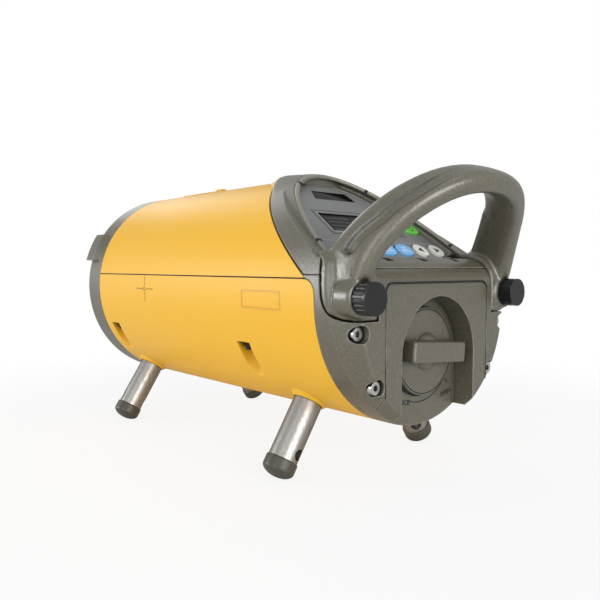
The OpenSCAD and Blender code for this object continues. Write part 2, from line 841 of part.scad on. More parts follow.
module key_shape(kind, grow) {
    if (kind == "round") circle(key_d / 2 + grow);
    else if (kind == "power") rotate(90) oval(power_len + 2 * grow, power_w + 2 * grow);
    else rotate(90) oval(key_oval_len + 2 * grow, key_oval_w + 2 * grow);
}

// A key at a row up the slope and a place across it
module key(kind, row, y, paint) {
    color(paint) place() on_slope() translate([row, y, 0]) {
        translate([0, 0, key_bottom]) linear_extrude(panel_lift + key_proud - key_bottom)
            key_shape(kind, 0);
        // Flange that keeps the key behind the panel
        translate([0, 0, key_bottom]) linear_extrude(key_flange_t) intersection() {
            key_shape(kind, key_gap + 0.35);
            square(kind == "power" ? [20, power_len] : [key_oval_w, 20], center = true);
        }
    }
}

module key_left() {
    key("round", key_row, 2 * key_pitch, white_key);
}

module key_right() {
    key("round", key_row, key_pitch, white_key);
}

module key_mode() {
    key("oval", key_row, 0, blue_key);
}

module key_speed() {
    key("oval", key_row, -key_pitch, blue_key);
}

module key_up() {
    key("round", key_row, -2 * key_pitch, white_key);
}

module key_down() {
    key("round", key_row, -3 * key_pitch, white_key);
}

module key_power() {
    key("power", power_row, power_y, green_key);
}

module panel_plate() {
    color(panel_grey) place() difference() {
        panel_slab(plate_bottom, panel_t);
        on_slope() translate([0, 0, plate_bottom - 1]) linear_extrude(panel_t + 2) {
            for (i = [-3, -2, 1, 2]) translate([key_row, i * key_pitch])
                key_shape("round", key_gap);
            for (i = [-1, 0]) translate([key_row, i * key_pitch]) key_shape("oval", key_gap);
            translate([power_row, power_y]) key_shape("power", key_gap);
            translate([lcd_row + lcd_h / 2, 0]) square([lcd_h + 0.2, lcd_w + 0.2], center = true);
            sensor_shape(0.1);
        }
    }
}

module sensor_shape(grow) {
    polygon([[sensor_row[0] - grow, -sensor_half[0] - grow],
        [sensor_row[1] + grow, -sensor_half[1] - grow],
        [sensor_row[1] + grow, sensor_half[1] + grow], [sensor_row[0] - grow, sensor_half[0] + grow]]);
}

module rear_sensor() {
    color(black) place() on_slope() translate([0, 0, plate_bottom - 0.8]) {
        linear_extrude(panel_t + 0.7) sensor_shape(0);
        translate([sensor_row[0] - 2, -9, 0]) cube([sensor_row[1] - sensor_row[0] + 3, 18, 0.8]);
    }
}

module lcd_window() {
    color([0.7, 0.75, 0.78]) place() on_slope() {
        translate([lcd_row, -lcd_w / 2, plate_bottom - 0.9]) cube([lcd_h, lcd_w, panel_t + 0.3]);
        translate([lcd_row - 2, -lcd_w / 2 - 2, plate_bottom - 0.9]) cube([lcd_h + 4, lcd_w + 4, 0.9]);
    }
}

module lcd_module() {
    color(black) place() on_slope() translate([lcd_row - 1, -lcd_w / 2 + 1, key_board_lift + board_t])
        cube([lcd_h + 2, lcd_w - 2, plate_bottom - 0.9 - key_board_lift - board_t]);
}

module key_board() {
    color(board_green) place() intersection() {
        on_slope() {
            translate([0, -body_r, key_board_lift]) cube([66, body_d, board_t]);
            for (i = [-3:2]) translate([key_row, i * key_pitch, key_board_lift])
                cylinder(h = board_t + switch_h, r = 2.6);
            translate([power_row, power_y, key_board_lift]) cylinder(h = board_t + switch_h, r = 2.6);
        }
        recess_form(ledge_w + seam);
        rod(-10, 110, fit_r - 3 - seam);
        translate([ledge_x + seam, -body_r, -20]) cube([100, body_d, 110]);
    }
}

// Handle: the swept grip joined to the two ears
module handle_sweep() {
    n = handle_sides;
    rings = handle_rings;
    last = rings * n;
    polyhedron(handle_points, concat(
        [for (j = [0:rings - 1], i = [0:n - 1]) let (k = (i + 1) % n) each
            [[j * n + i, j * n + k, (j + 1) * n + k], [j * n + i, (j + 1) * n + k, (j + 1) * n + i]]],
        [[for (i = [n - 1:-1:0]) i], [for (i = [0:n - 1]) last + i]]));
}

module handle() {
    color(olive) place() difference() {
        union() {
            intersection() {
                ear_body();
                rod(rear_x - 1, 60, body_r);
                rear_cone();
            }
            mirrored() rod(boss_x, 10, knob_d / 2 + 1.4, knob_y, knob_z);
            difference() {
                handle_sweep();
                mirrored() across(30, 70) polygon([[ear_low_x, -20], [ear_low_x, ear_z + ear_corner],
                    [ear_front, shelf_z], [ear_front, shelf_z + 5], [30, shelf_z + 5], [30, -20]]);
            }
        }
        mirrored() rod(boss_x - 1, 30, shank_d / 2 + pivot_gap, knob_y, knob_z);
        // Spot face under the thumb screw's head
        mirrored() rod(boss_x - 20, 20, knob_d / 2 + 0.8, knob_y, knob_z);
    }
}

module ear_body() {
    top = shelf_z + ear_rise;
    mirrored() across(ear_y, body_r) polygon(concat(
        [[rear_x - 1, ear_z]],
        arc(ear_low_x - ear_corner, ear_z + ear_corner, ear_corner, -90, 0, 6),
        arc(ear_front - ear_rise, top - ear_rise, ear_rise, 0, 90, 4),
        arc(rear_x + ear_top_r, top - ear_top_r, ear_top_r, 90, 180, 8)));
}

// Thumb screw with a fluted head
module thumb_screw() {
    flutes = 20;
    difference() {
        rod(knob_back - knob_len, knob_len, knob_d / 2);
        for (i = [0:flutes - 1]) rotate([360 * i / flutes, 0, 0])
            translate([knob_back - knob_len + 1.2, knob_d / 2 + 0.25, 0])
            rotate([0, 90, 0]) cylinder(h = knob_len, r = 0.6, $fn = 16);
    }
    rod(knob_back - 0.5, 0.6 - knob_back + 6, shank_d / 2);
}

module knob_left() {
    color(black) place() translate([0, knob_y, knob_z]) thumb_screw();
}

module knob_right() {
    color(black) place() translate([0, -knob_y, knob_z]) thumb_screw();
}

// Battery drawer
module drawer_outline(gap) {
    r = tray_corner + gap;
    hw = tray_half + gap;
    polygon(concat(
        arc(r - hw, tray_bottom - gap + r, r, 180, 270, 8),
        arc(hw - r, tray_bottom - gap + r, r, 270, 360, 8),
        [[hw, bay_ceiling], [-hw, bay_ceiling]]));
}

module arch_outline() {
    polygon(concat(arc(0, arch_z, arch_r, 0, 180, 24), [[-arch_r, -body_r - 2], [arch_r, -body_r - 2]]));
}

module battery_cover() {
    shaft_hole = lock_shaft_d / 2 + pivot_gap;
    color(olive) place() difference() {
        union() {
            intersection() {
                rear_form();
                union() {
                    along_x(rear_x - 1, cover_inner - rear_x + 1) cover_outline(0);
                    along_x(-13, 13 - seam) polygon([[-chin_half, chin_top], [chin_half, chin_top],
                        [chin_half, -body_r - 2], [-chin_half, -body_r - 2]]);
                }
            }
            // Rails that carry the tray
            for (s = [-1, 1]) translate([cover_inner - 0.5, s * (tray_half - 5) - 3, cell_z - 8])
                cube([tray_start - cover_inner + 0.5, 6, 16]);
        }
        along_x(rear_x - 1, arch_depth + 1) arch_outline();
        // Seat of the lock knob's disc
        rod(rear_x + arch_depth - 1, 2.3, lock_d / 2 + 0.4, 0, lock_z);
        rod(-30, 60, shaft_hole, 0, lock_z);
        // Room for the cam and the tray behind the chin
        along_x(cover_inner, 20) difference() {
            drawer_outline(-0.1);
            for (s = [-1, 1]) translate([s * (tray_half - 5) - 3, cell_z - 8]) square([6, 16]);
        }
        // Hollow sides of the moulding
        mirrored() translate([rear_x + 3, arch_r + 2.6, chin_top + 4])
            cube([cover_inner - rear_x, cover_w / 2 - arch_r - 5.2, 40]);
    }
}

module cover_seal() {
    color(black) place() difference() {
        along_x(cover_inner, 0.4) cover_outline(-0.6);
        along_x(cover_inner - 1, 3) drawer_outline(0.1);
        along_x(cover_inner - 1, 3) translate([-40, -body_r - 2])
            square([80, body_r + 2 + chin_top + 0.5]);
        translate([cover_inner - 1, -15.2, tray_side_top])
            cube([3, 30.4, cam_ceiling + 0.2 - tray_side_top]);
    }
}

module battery_tray() {
    color(black) place() {
        difference() {
            along_x(tray_start, tray_end - tray_start) drawer_outline(0);
            along_x(tray_start + 1.6, tray_end - tray_start - 1.6 - tray_wall) drawer_outline(-tray_wall);
            translate([tray_start + 1.6, -tray_half - 1, tray_side_top])
                cube([tray_end - tray_start - 1.6 - tray_wall, 2 * tray_half + 2, 60]);
            rod(tray_start - 1, 4, lock_shaft_d / 2 + 1.5, 0, lock_z);
            // Finger cut-outs in the sides
            for (i = [0, 1]) translate([cell_x + cell_len * (i + 0.5), 0, tray_side_top])
                rotate([90, 0, 0])
                cylinder(h = 2 * tray_half + 2, r = 12, center = true);
        }
        // Rib between the cells
        difference() {
            translate([cell_x + 2, -0.25, tray_bottom + 1]) cube([2 * cell_len - 4, 0.5, 14]);
            translate([cell_x + 20, -1, tray_bottom + 8]) cube([2 * cell_len - 40, 2, 20]);
        }
    }
}

module battery_cells() {
    tip_h = 1.6;
    color([0.25, 0.27, 0.3]) place() for (s = [-1, 1], i = [0, 1]) {
        rod(cell_x + i * cell_len, cell_len - tip_h, cell_d / 2 - 0.02, s * cell_y, cell_z);
        rod(cell_x + i * cell_len + cell_len - tip_h - 0.5, tip_h + 0.45, 4.5, s * cell_y, cell_z);
    }
}

module battery_contacts() {
    far = cell_x + 2 * cell_len;
    color(steel) place() {
        translate([tray_start + 1.65, -cell_y - 8, cell_z - 6]) cube([contact_t, 2 * cell_y + 16, 12]);
        for (s = [-1, 1]) {
            rod(tray_start + 1.65, cell_x - tray_start - 1.7, 5, s * cell_y, cell_z);
            translate([far + spring_len, s * cell_y - 7, cell_z - 6]) cube([contact_t, 14, 12]);
            difference() {
                rod(far + 0.05, spring_len, 6, s * cell_y, cell_z);
                rod(far - 0.5, spring_len + 0.5, 4.8, s * cell_y, cell_z);
            }
        }
    }
}

// Fixed bay that the drawer runs in
module battery_bay() {
    color(alloy) place() difference() {
        union() {
            along_x(0, bay_end) polygon(bay_points());
            // Flange behind the rear bulkhead
            intersection() {
                along_x(0, 1.6) translate([-bay_half - 4, bay_bottom + 8])
                    square([2 * bay_half + 8, bay_top - bay_bottom - 4]);
                rod(0, 5, fit_r - 3.3);
            }
            // Keel that rests on the casing
            intersection() {
                translate([46, -3, -body_r]) cube([80, 6, body_r + bay_bottom + 1]);
                rod(40, 100, fit_r + 0.1);
            }
            // Standoffs of the main board
            for (x = [18, 82], s = [-1, 1]) translate([x, s * 34, bay_top - 0.5])
                cylinder(h = standoff_h + 0.5, r = 3);
        }
        along_x(-1, bay_end + 1 - bay_wall) drawer_outline(tray_gap);
    }
}

function bay_points() = concat(
    arc(bay_corner - bay_half, bay_bottom + bay_corner, bay_corner, 180, 270, 8),
    arc(bay_half - bay_corner, bay_bottom + bay_corner, bay_corner, 270, 360, 8),
    [[bay_half, bay_top], [-bay_half, bay_top]]);

// Lock: a disc with a grip bar outside, a shaft and an eccentric cam inside
module lock_knob() {
    disc_back = rear_x + arch_depth + 1.2;
    disc_front = rear_x + arch_depth - lock_rise;
    color(olive) place() translate([0, 0, lock_z]) difference() {
        union() {
            rod(disc_front, disc_back - disc_front, lock_d / 2);
            intersection() {
                rod(rear_x - 0.8, disc_front - rear_x + 1, bar_len / 2);
                rotate([-bar_turn, 0, 0]) along_x(rear_x - 0.8, disc_front - rear_x + 1)
                    rounded(bar_len, bar_h, 1.2);
            }
            translate([disc_front, 0, 0]) rotate([0, -90, 0]) rotate_extrude()
                polygon([[0, -1], [9, -1], [9, 0], [7.8, 2], [5.4, 3.6], [0, 4.6]]);
        }
        rod(disc_back - 2, 3, lock_shaft_d / 2 - 1);
    }
}

module lock_shaft() {
    disc_back = rear_x + arch_depth + 1.2;
    color(steel) place() translate([0, 0, lock_z]) {
        rod(disc_back + 0.02, tray_start - 0.4 - disc_back, lock_shaft_d / 2);
        rod(disc_back - 1.98, 2.1, lock_shaft_d / 2 - 1.05);
        along_x(cover_inner + 0.2, cam_t) {
            circle(8);
            difference() {
                circle(21.9);
                polygon([[-7, 0], [-7, 30], [-30, 30], [-30, -30], [30, -30], [30, 30], [7, 30], [7, 0]]);
            }
        }
    }
}

// Legs and feet
module leg(x, side, turn) {
    color(steel) place() along_leg(x, side) difference() {
        union() {
            translate([0, 0, boss_reach + 0.1]) cylinder(h = leg_end - boss_reach - 0.1, r = leg_d / 2);
            translate([0, 0, boss_inner + 1.2]) cylinder(h = boss_reach - boss_inner, r = stud_d / 2);
            translate([0, 0, leg_end - 1]) cylinder(h = foot_stud_len + 1, r = foot_stud_d / 2);
        }
        translate([0, 0, tommy_reach]) rotate([0, 90, -side * turn])
            cylinder(h = 2 * leg_d, r = tommy_d / 2, center = true);
    }
}

module foot(x, side) {
    hole_r = foot_stud_d / 2 + 0.02;
    hole_end = leg_end + foot_stud_len + 0.02;
    color(rubber) place() difference() {
        along_leg(x, side) rotate_extrude() polygon(concat(
            [[hole_r, leg_end + 0.02], [dome_r - 0.5, leg_end + 0.02], [dome_r, leg_end + 0.5]],
            [for (a = [0:9:90]) [dome_r * cos(a), foot_reach + foot_dome * (sin(a) - 1)]],
            [[0, hole_end], [hole_r, hole_end]]));
        translate([x - 30, -100, -axis_h - 10]) cube([60, 200, 10]);
    }
}

module leg_front_left() {
    leg(leg_front_x, 1, turn_front_left);
}

module leg_front_right() {
    leg(leg_front_x, -1, turn_front_right);
}

module leg_rear_left() {
    leg(leg_rear_x, 1, turn_rear_left);
}

module leg_rear_right() {
    leg(leg_rear_x, -1, turn_rear_right);
}

module foot_front_left() {
    foot(leg_front_x, 1);
}

module foot_front_right() {
    foot(leg_front_x, -1);
}

module foot_rear_left() {
    foot(leg_rear_x, 1);
}

module foot_rear_right() {
    foot(leg_rear_x, -1);
}

// Laser carriage: the frame carries the gimbal ring, and the ring carries the tube
module bored_ring(x, w, r_out, r_in) {
    difference() {
        rod(x, w, r_out);
        rod(x - 1, w + 2, r_in);
    }
}

module optical_frame() {
    shelf_top = bay_top + 4.6;
    shelf_t = 4;
    side_w = 7;
    rear_end = line_x - 12;
    color(alloy) place() difference() {
        union() {
            bored_ring(pivot_x - frame_w / 2, frame_w, fit_r, frame_in);
            for (s = [0, 1]) mirror([0, 0, s]) translate([pivot_x, 0, yoke_out + boss_gap])
                cylinder(h = frame_in + 1 - yoke_out - boss_gap, r = 6);
            // Shelf over the battery bay, with the posts of the line drive
            intersection() {
                union() {
                    for (s = [-1, 1]) translate([rear_end, s * (frame_in + 1) - (s > 0 ? side_w : 0),
                        shelf_top - shelf_t])
                        cube([pivot_x - rear_end, side_w, shelf_t]);
                    translate([rear_end, -frame_in, shelf_top - shelf_t])
                        cube([20, 2 * frame_in, shelf_t]);
                }
                rod(0, 200, fit_r);
            }
            for (s = [-1, 1]) translate([line_x - 6, s * (post_y + 2) - 2, shelf_top - 1])
                cube([12, 4, line_z + 7 - shelf_top]);
            // Seat of the line motor
            translate([line_x - 6, -post_y - 4 - 17, line_z - 12]) cube([12, 18, 3]);
            translate([line_x - 4, -post_y - 4 - 15, shelf_top - 1])
                cube([8, 4, line_z - 10 - shelf_top]);
        }
        for (s = [0, 1]) mirror([0, 0, s]) translate([pivot_x, 0, yoke_in])
            cylinder(h = 40, r = pin_d / 2 + pivot_gap);
        translate([line_x, 30, line_z]) rotate([90, 0, 0]) cylinder(h = 60, r = drive_d / 2 + pivot_gap);
    }
}

module gimbal_yoke() {
    color(alloy) place() difference() {
        union() {
            bored_ring(pivot_x - yoke_w / 2, yoke_w, yoke_out, yoke_in);
            // Arm to the line nut
            translate([line_x - 3, -4, arm_z]) cube([line_arm, 8, arm_t]);
            translate([line_x - 3, -5, arm_z]) cube([14, 10, arm_t]);
            // Arm and plate of the grade drive
            translate([pivot_x, -9, grade_plate_z]) cube([grade_arm - 6, 18, grade_plate_t]);
            translate([pivot_x + grade_arm - 12, -9, grade_plate_z])
                cube([20, grade_y + 16, grade_plate_t]);
        }
        // Pivots of the ring and of the tube
        for (s = [0, 1]) mirror([0, 0, s]) translate([pivot_x, 0, yoke_in - 1])
            cylinder(h = 20, r = pin_d / 2 + pivot_gap);
        translate([pivot_x, 0, 0]) rotate([90, 0, 0])
            cylinder(h = 2 * yoke_out + 2, r = pin_d / 2 + pivot_gap, center = true);
        // Fork round the nut's pin
        translate([line_x - 4, -fork_w / 2, arm_z - 1]) cube([7, fork_w, arm_t + 2]);
        translate([line_x + 3, 0, arm_z - 1]) cylinder(h = arm_t + 2, r = fork_w / 2);
        translate([grade_x, grade_y, grade_plate_z - 1]) cylinder(h = 10, r = drive_d / 2 + pivot_gap);
    }
}

module pivot_pins() {
    color(steel) place() for (s = [0, 1]) mirror([0, 0, s]) translate([pivot_x, 0, yoke_in + 0.4])
        cylinder(h = frame_in + 0.6 - yoke_in, r = pin_d / 2);
}

module laser_tube() {
    color(black) place() difference() {
        union() {
            rod(pivot_x - tube_tail, tube_tail + tube_nose, tube_r);
            for (s = [0, 1]) mirror([0, s, 0]) translate([pivot_x, 0, 0]) rotate([-90, 0, 0]) {
                cylinder(h = yoke_in - 1, r = pin_d / 2 + 2);
                cylinder(h = yoke_out - 0.6, r = pin_d / 2);
            }
        }
        rod(pivot_x - tube_tail - 1, tube_tail + tube_nose + 2, tube_r - 3);
    }
}

module laser_lens() {
    r = tube_r - 3 - 0.1;
    color([0.65, 0.8, 0.9]) place() translate([pivot_x + tube_nose - 8, 0, 0]) rotate([0, 90, 0])
        rotate_extrude() polygon(concat([[0, 0], [r, 0]],
            [for (i = [0:6]) [r * cos(90 * i / 6), 3 + 2.2 * sin(90 * i / 6)]]));
}

module laser_diode() {
    r = tube_r - 3 - 0.1;
    color(brass) place() {
        rod(pivot_x - tube_tail + 1, 10, r);
        rod(pivot_x - tube_tail + 10.5, 6, 4.5);
    }
}

module grade_motor() {
    color(steel) place() translate([grade_x, grade_y, 0]) {
        translate([0, 0, grade_plate_z - 12]) cylinder(h = 12, r = 5);
        translate([0, 0, grade_plate_z - 13]) cylinder(h = 1.5, r = 1.5);
    }
}

module grade_screw() {
    color(steel) place() translate([grade_x, grade_y, grade_plate_z + 0.2]) {
        cylinder(h = 30 + grade_plate_t, r = drive_d / 2);
        translate([0, 0, grade_plate_t]) cylinder(h = 0.8, r = drive_d / 2 + 1);
    }
}

module grade_nut() {
    color(brass) place() difference() {
        union() {
            translate([grade_x, grade_y, grade_rest - 3]) cylinder(h = 5, r = 4.2);
            // Round bar that the tube rests on
            translate([grade_x, -3, grade_rest - 2]) rotate([-90, 0, 0]) cylinder(h = grade_y, r = 2);
        }
        translate([grade_x, grade_y, grade_rest - 5]) cylinder(h = 10, r = drive_d / 2 + pivot_gap);
    }
}

module line_motor() {
    y_end = -post_y - 4 - 0.5;
    color(steel) place() translate([line_x, y_end, line_z]) rotate([90, 0, 0]) {
        cylinder(h = 16, r = 7.5);
        cylinder(h = 17.5, r = 2);
    }
}

module line_screw() {
    color(steel) place() translate([line_x, -post_y - 4, line_z]) rotate([-90, 0, 0])
        cylinder(h = 2 * post_y + 8, r = drive_d / 2);
}

module line_nut() {
    color(brass) place() difference() {
        union() {
            translate([line_x, 0, line_z]) rotate([90, 0, 0]) cylinder(h = 8, r = 4, center = true);
            translate([line_x - 3.5, -4, line_z]) cube([7, 8, arm_z - 1 - line_z]);
            translate([line_x, 0, line_z + drive_d / 2 + 1])
                cylinder(h = arm_z + arm_t - line_z - drive_d / 2 - 1, r = nut_pin_d / 2);
        }
        translate([line_x, 0, line_z]) rotate([90, 0, 0])
            cylinder(h = 20, r = drive_d / 2 + pivot_gap, center = true);
    }
}

module main_board() {
    board_z = bay_top + standoff_h;
    color(board_green) place() {
        translate([14, -38, board_z]) cube([72, 76, board_t]);
        translate([30, -16, board_z + 1.5]) cube([18, 18, 2.4]);
        translate([56, 4, board_z + 1.5]) cube([22, 12, 3.2]);
        translate([60, -24, board_z + 1.5]) cube([10, 16, 6]);
        for (i = [0:3]) translate([24 + 8 * i, 26, board_z + 1.5]) cylinder(h = 7, r = 2.8);
    }
}

casing_lower();
casing_upper();
casing_seal();
casing_screws();
front_cap();
cap_screws();
window_glass();
window_seal();
window_ring();
front_sensor();
rear_housing();
rear_screws();
panel_housing();
panel_seal();
panel_plate();
lcd_window();
lcd_module();
rear_sensor();
key_board();
key_left();
key_right();
key_mode();
key_speed();
key_up();
key_down();
key_power();
handle();
knob_left();
knob_right();
battery_cover();
cover_seal();
battery_tray();
battery_cells();
battery_contacts();
battery_bay();
lock_knob();
lock_shaft();
leg_front_left();
leg_front_right();
leg_rear_left();
leg_rear_right();
foot_front_left();
foot_front_right();
foot_rear_left();
foot_rear_right();
optical_frame();
gimbal_yoke();
pivot_pins();
laser_tube();
laser_lens();
laser_diode();
grade_motor();
grade_screw();
grade_nut();
line_motor();
line_screw();
line_nut();
main_board();
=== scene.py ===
import bmesh
import bpy
import json
import math
from mathutils import Matrix, Vector


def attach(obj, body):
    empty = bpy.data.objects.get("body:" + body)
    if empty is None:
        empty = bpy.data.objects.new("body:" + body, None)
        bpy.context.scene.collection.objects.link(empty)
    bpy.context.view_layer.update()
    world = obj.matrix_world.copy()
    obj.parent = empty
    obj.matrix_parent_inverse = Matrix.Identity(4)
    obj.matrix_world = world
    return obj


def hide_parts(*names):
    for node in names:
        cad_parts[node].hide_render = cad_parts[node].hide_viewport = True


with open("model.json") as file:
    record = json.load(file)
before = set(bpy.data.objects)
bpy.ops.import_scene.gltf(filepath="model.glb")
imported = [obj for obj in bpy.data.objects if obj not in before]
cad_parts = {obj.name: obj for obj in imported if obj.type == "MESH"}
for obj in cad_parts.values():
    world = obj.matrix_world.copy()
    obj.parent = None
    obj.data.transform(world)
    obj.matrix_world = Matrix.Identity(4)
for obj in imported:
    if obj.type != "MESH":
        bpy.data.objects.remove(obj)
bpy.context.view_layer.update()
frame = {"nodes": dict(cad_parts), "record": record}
nodes = frame["nodes"]

# Places and sizes are in millimetres, and places are measured from the body's rear ring and axis.
# Where that ring and that axis lie in the shared frame, and the body's radius
RING_X = -89.8134
AXIS_Z = 86.3465
BODY_R = 61.0

# Control panel: where its slope starts, its angle, and the heights of its face and keys over the slope
SLOPE_FOOT = (6.3, 0, 8.2)
SLOPE = math.radians(37.5)
PANEL_TOP = 6.0
KEY_TOP = 7.0
# Distances up the slope and across it
KEY_ROW = 13.4
KEY_PITCH = 13.2
POWER_ROW = 33.0
POWER_Y = -36.6
LCD_W = 50.0
LCD_LOW = 27.8
LCD_HIGH = 44.5

# Hood over the panel: height of its crown, height of its own axis and that axis's tilt
HOOD_CROWN = 64.3
HOOD_AXIS_Z = 11.3
HOOD_TILT = math.radians(4)

# Laser's pivot along the body, and the thumb screws' axis
PIVOT_X = 146.0
KNOB_X = -12.5
KNOB_Z = 0.5

# Height of the lock's middle, the outer face of its disc, the floor of its recess and the rear face
LOCK_Z = -26.2
LOCK_FACE_X = -11.0
RECESS_X = -7.74
REAR_X = -19.14

# Thickness of printed marks
PRINT_T = 0.1
# Samples of the shader nodes that look round a point
NEAR_SAMPLES = 6


def at(x, y, z):
    """A point given from the rear ring and the body's axis, in the shared frame."""
    return Vector(((x + RING_X) / 1000, y / 1000, (z + AXIS_Z) / 1000))


def from_ring(co):
    """Back from the shared frame to millimetres from the rear ring and the axis."""
    return Vector((co.x * 1000 - RING_X, co.y * 1000, co.z * 1000 - AXIS_Z))


def spin_z(degrees):
    """A turn about local Z."""
    return Matrix.Rotation(math.radians(degrees), 4, "Z")


def slope_matrix(row, y, height):
    """Turns local X up the control slope, Y across it, Z out of it."""
    turn = Matrix.Rotation(-SLOPE, 4, "Y")
    foot = Matrix.Translation(at(*SLOPE_FOOT))
    return foot @ turn @ Matrix.Translation(Vector((row, y, height)) / 1000)


def skin_matrix(x, angle):
    """Local X along the body, Y round its skin, Z out of it. The angle runs up from the left side."""
    a = math.radians(angle)
    out = Vector((0, math.cos(a), math.sin(a)))
    along = Vector((1, 0, 0))
    turn = Matrix((along, out.cross(along), out)).transposed().to_4x4()
    return Matrix.Translation(at(x, out.y * BODY_R, out.z * BODY_R)) @ turn


# Looking at the rear face: local X to the right, Y up, Z out to the rear
REAR_FACE = Matrix(((0, 0, -1, 0), (-1, 0, 0, 0), (0, 1, 0, 0), (0, 0, 0, 1)))


def rear_matrix(x, y, z):
    """A place on a plane that faces the rear."""
    return Matrix.Translation(at(x, y, z)) @ REAR_FACE


def tone(r, g, b):
    """A screen colour, 0 to 255, as the shader wants it."""
    def line(c):
        c /= 255
        return c / 12.92 if c <= 0.04045 else ((c + 0.055) / 1.055) ** 2.4
    return (line(r), line(g), line(b), 1.0)


# Node helpers

def feed(tree, socket, value):
    """Links an output to a socket, or sets the socket's own value."""
    if isinstance(value, bpy.types.NodeSocket):
        tree.links.new(value, socket)
    else:
        socket.default_value = value


def feed_named(tree, node, values):
    """Feeds a node's inputs by name, with underscores for the spaces."""
    for label, value in values.items():
        feed(tree, node.inputs[label.replace("_", " ")], value)


def add_node(tree, kind, **values):
    """A node with its inputs fed by name."""
    node = tree.nodes.new(kind)
    feed_named(tree, node, values)
    return node


def place_group(tree, group, **values):
    """Places a shader group and gives its outputs."""
    node = tree.nodes.new("ShaderNodeGroup")
    node.node_tree = group
    feed_named(tree, node, values)
    return node.outputs


def calc(tree, operation, *values, clamp=False):
    """The result of a sum or other operation on numbers, given in order."""
    node = tree.nodes.new("ShaderNodeMath")
    node.operation = operation
    node.use_clamp = clamp
    for socket, value in zip(node.inputs, values):
        feed(tree, socket, value)
    return node.outputs[0]


def calc_vector(tree, operation, *values):
    """The result of an operation on vectors, given in order."""
    node = tree.nodes.new("ShaderNodeVectorMath")
    node.operation = operation
    for socket, value in zip(node.inputs, values):
        feed(tree, socket, value)
    return node.outputs["Value" if operation in ("DOT_PRODUCT", "LENGTH") else "Vector"]


def remap(tree, value, low, high):
    """Stretches the span between two values over 0 to 1 and stops at both ends."""
    made = add_node(tree, "ShaderNodeMapRange", Value=value, From_Min=low, From_Max=high)
    return made.outputs["Result"]


def mix(tree, share, a, b, data="RGBA", blend="MIX"):
    """Goes from a to b by a share from 0 to 1."""
    node = tree.nodes.new("ShaderNodeMix")
    node.data_type = data
    node.blend_type = blend
    feed_named(tree, node, {"Factor": share, "A": a, "B": b})
    return node.outputs["Result"]


def object_place(tree):
    """The shaded point in its object's own coordinates."""
    return tree.nodes.new("ShaderNodeTexCoord").outputs["Object"]


def noise(tree, place, scale, detail, **values):
    """Random pattern at a place, from 0 to 1."""
    made = add_node(tree, "ShaderNodeTexNoise", Vector=place, Scale=scale, Detail=detail, **values)
    return made.outputs["Fac"]


def softened_normal(tree, radius):
    """The normal with every edge rounded by a radius."""
    node = add_node(tree, "ShaderNodeBevel", Radius=radius / 1000)
    node.samples = NEAR_SAMPLES
    return node.outputs["Normal"]


def openness(tree, reach):
    """How open a place lies to its surroundings within a reach."""
    node = add_node(tree, "ShaderNodeAmbientOcclusion", Distance=reach / 1000)
    node.samples = NEAR_SAMPLES
    return node.outputs["AO"]


def relief(tree, height, distance, strength, normal):
    """The normal with a height's relief added, its depth in metres."""
    made = add_node(tree, "ShaderNodeBump", Strength=strength, Distance=distance, Height=height,
                    Normal=normal)
    return made.outputs["Normal"]


# Shader groups

GREY = (0.5, 0.5, 0.5, 1)
# Colour of the painted shade in crevices
CREVICE_SHADE_COLOR = (0.03, 0.025, 0.018, 1)


def new_group(name, inputs, outputs):
    """A shader group, its inputs seen from inside and its outputs to be fed."""
    group = bpy.data.node_groups.new(name, "ShaderNodeTree")
    for label, value in inputs.items():
        kind = "Float" if isinstance(value, float) else {3: "Vector", 4: "Color"}[len(value)]
        socket = group.interface.new_socket(label, in_out="INPUT", socket_type="NodeSocket" + kind)
        socket.default_value = value
    for label, kind in outputs.items():
        group.interface.new_socket(label, in_out="OUTPUT", socket_type="NodeSocket" + kind)
    given = group.nodes.new("NodeGroupInput").outputs
    made = group.nodes.new("NodeGroupOutput").inputs
    return group, given, made


def moulded_grain_group():
    """Fine spark-eroded texture of a moulding: height, roughness and a slight change of shade."""
    group, given, made = new_group(
        "moulded grain",
        {"Base Color": GREY, "Fleck Color": GREY, "Grain Size": 900.0, "Fleck Amount": 0.3,
         "Roughness": 0.5, "Roughness Change": 0.08},
        {"Color": "Color", "Roughness": "Float", "Height": "Float"})
    place = object_place(group)
    grain = noise(group, place, given["Grain Size"], 3.0, Roughness=0.65)
    broad = noise(group, place, 34.0, 2.0)
    flecked = calc(group, "MULTIPLY", remap(group, grain, 0.42, 0.66), given["Fleck Amount"])
    rough = calc(group, "MULTIPLY_ADD", calc(group, "SUBTRACT", broad, 0.5), given["Roughness Change"],
                 given["Roughness"])
    feed(group, made["Color"], mix(group, flecked, given["Base Color"], given["Fleck Color"]))
    feed(group, made["Roughness"], rough)
    feed(group, made["Height"], grain)
    return group


def edge_rub_and_highlight_group():
    """Paler edges, partly rubbed wear and partly painted highlight: where the softened normal leaves the true
    one, broken up by noise.
    """
    group, given, made = new_group(
        "edge rub and highlight",
        {"Color": GREY, "Rubbed Color": GREY, "Soft Normal": (0.0, 0.0, 0.0), "Amount": 0.6, "Openness": 1.0},
        {"Color": "Color"})
    true_normal = group.nodes.new("ShaderNodeNewGeometry").outputs["Normal"]
    straight = calc_vector(group, "DOT_PRODUCT", true_normal, given["Soft Normal"])
    edge = remap(group, straight, 0.995, 0.86)
    broken = remap(group, noise(group, object_place(group), 180.0, 4.0), 0.2, 0.6)
    convex = remap(group, given["Openness"], 0.7, 0.9)
    mask = calc(group, "MULTIPLY", calc(group, "MULTIPLY", edge, convex), broken)
    worn_and_lit = calc(group, "MULTIPLY", mask, given["Amount"])
    feed(group, made["Color"], mix(group, worn_and_lit, given["Color"], given["Rubbed Color"]))
    return group


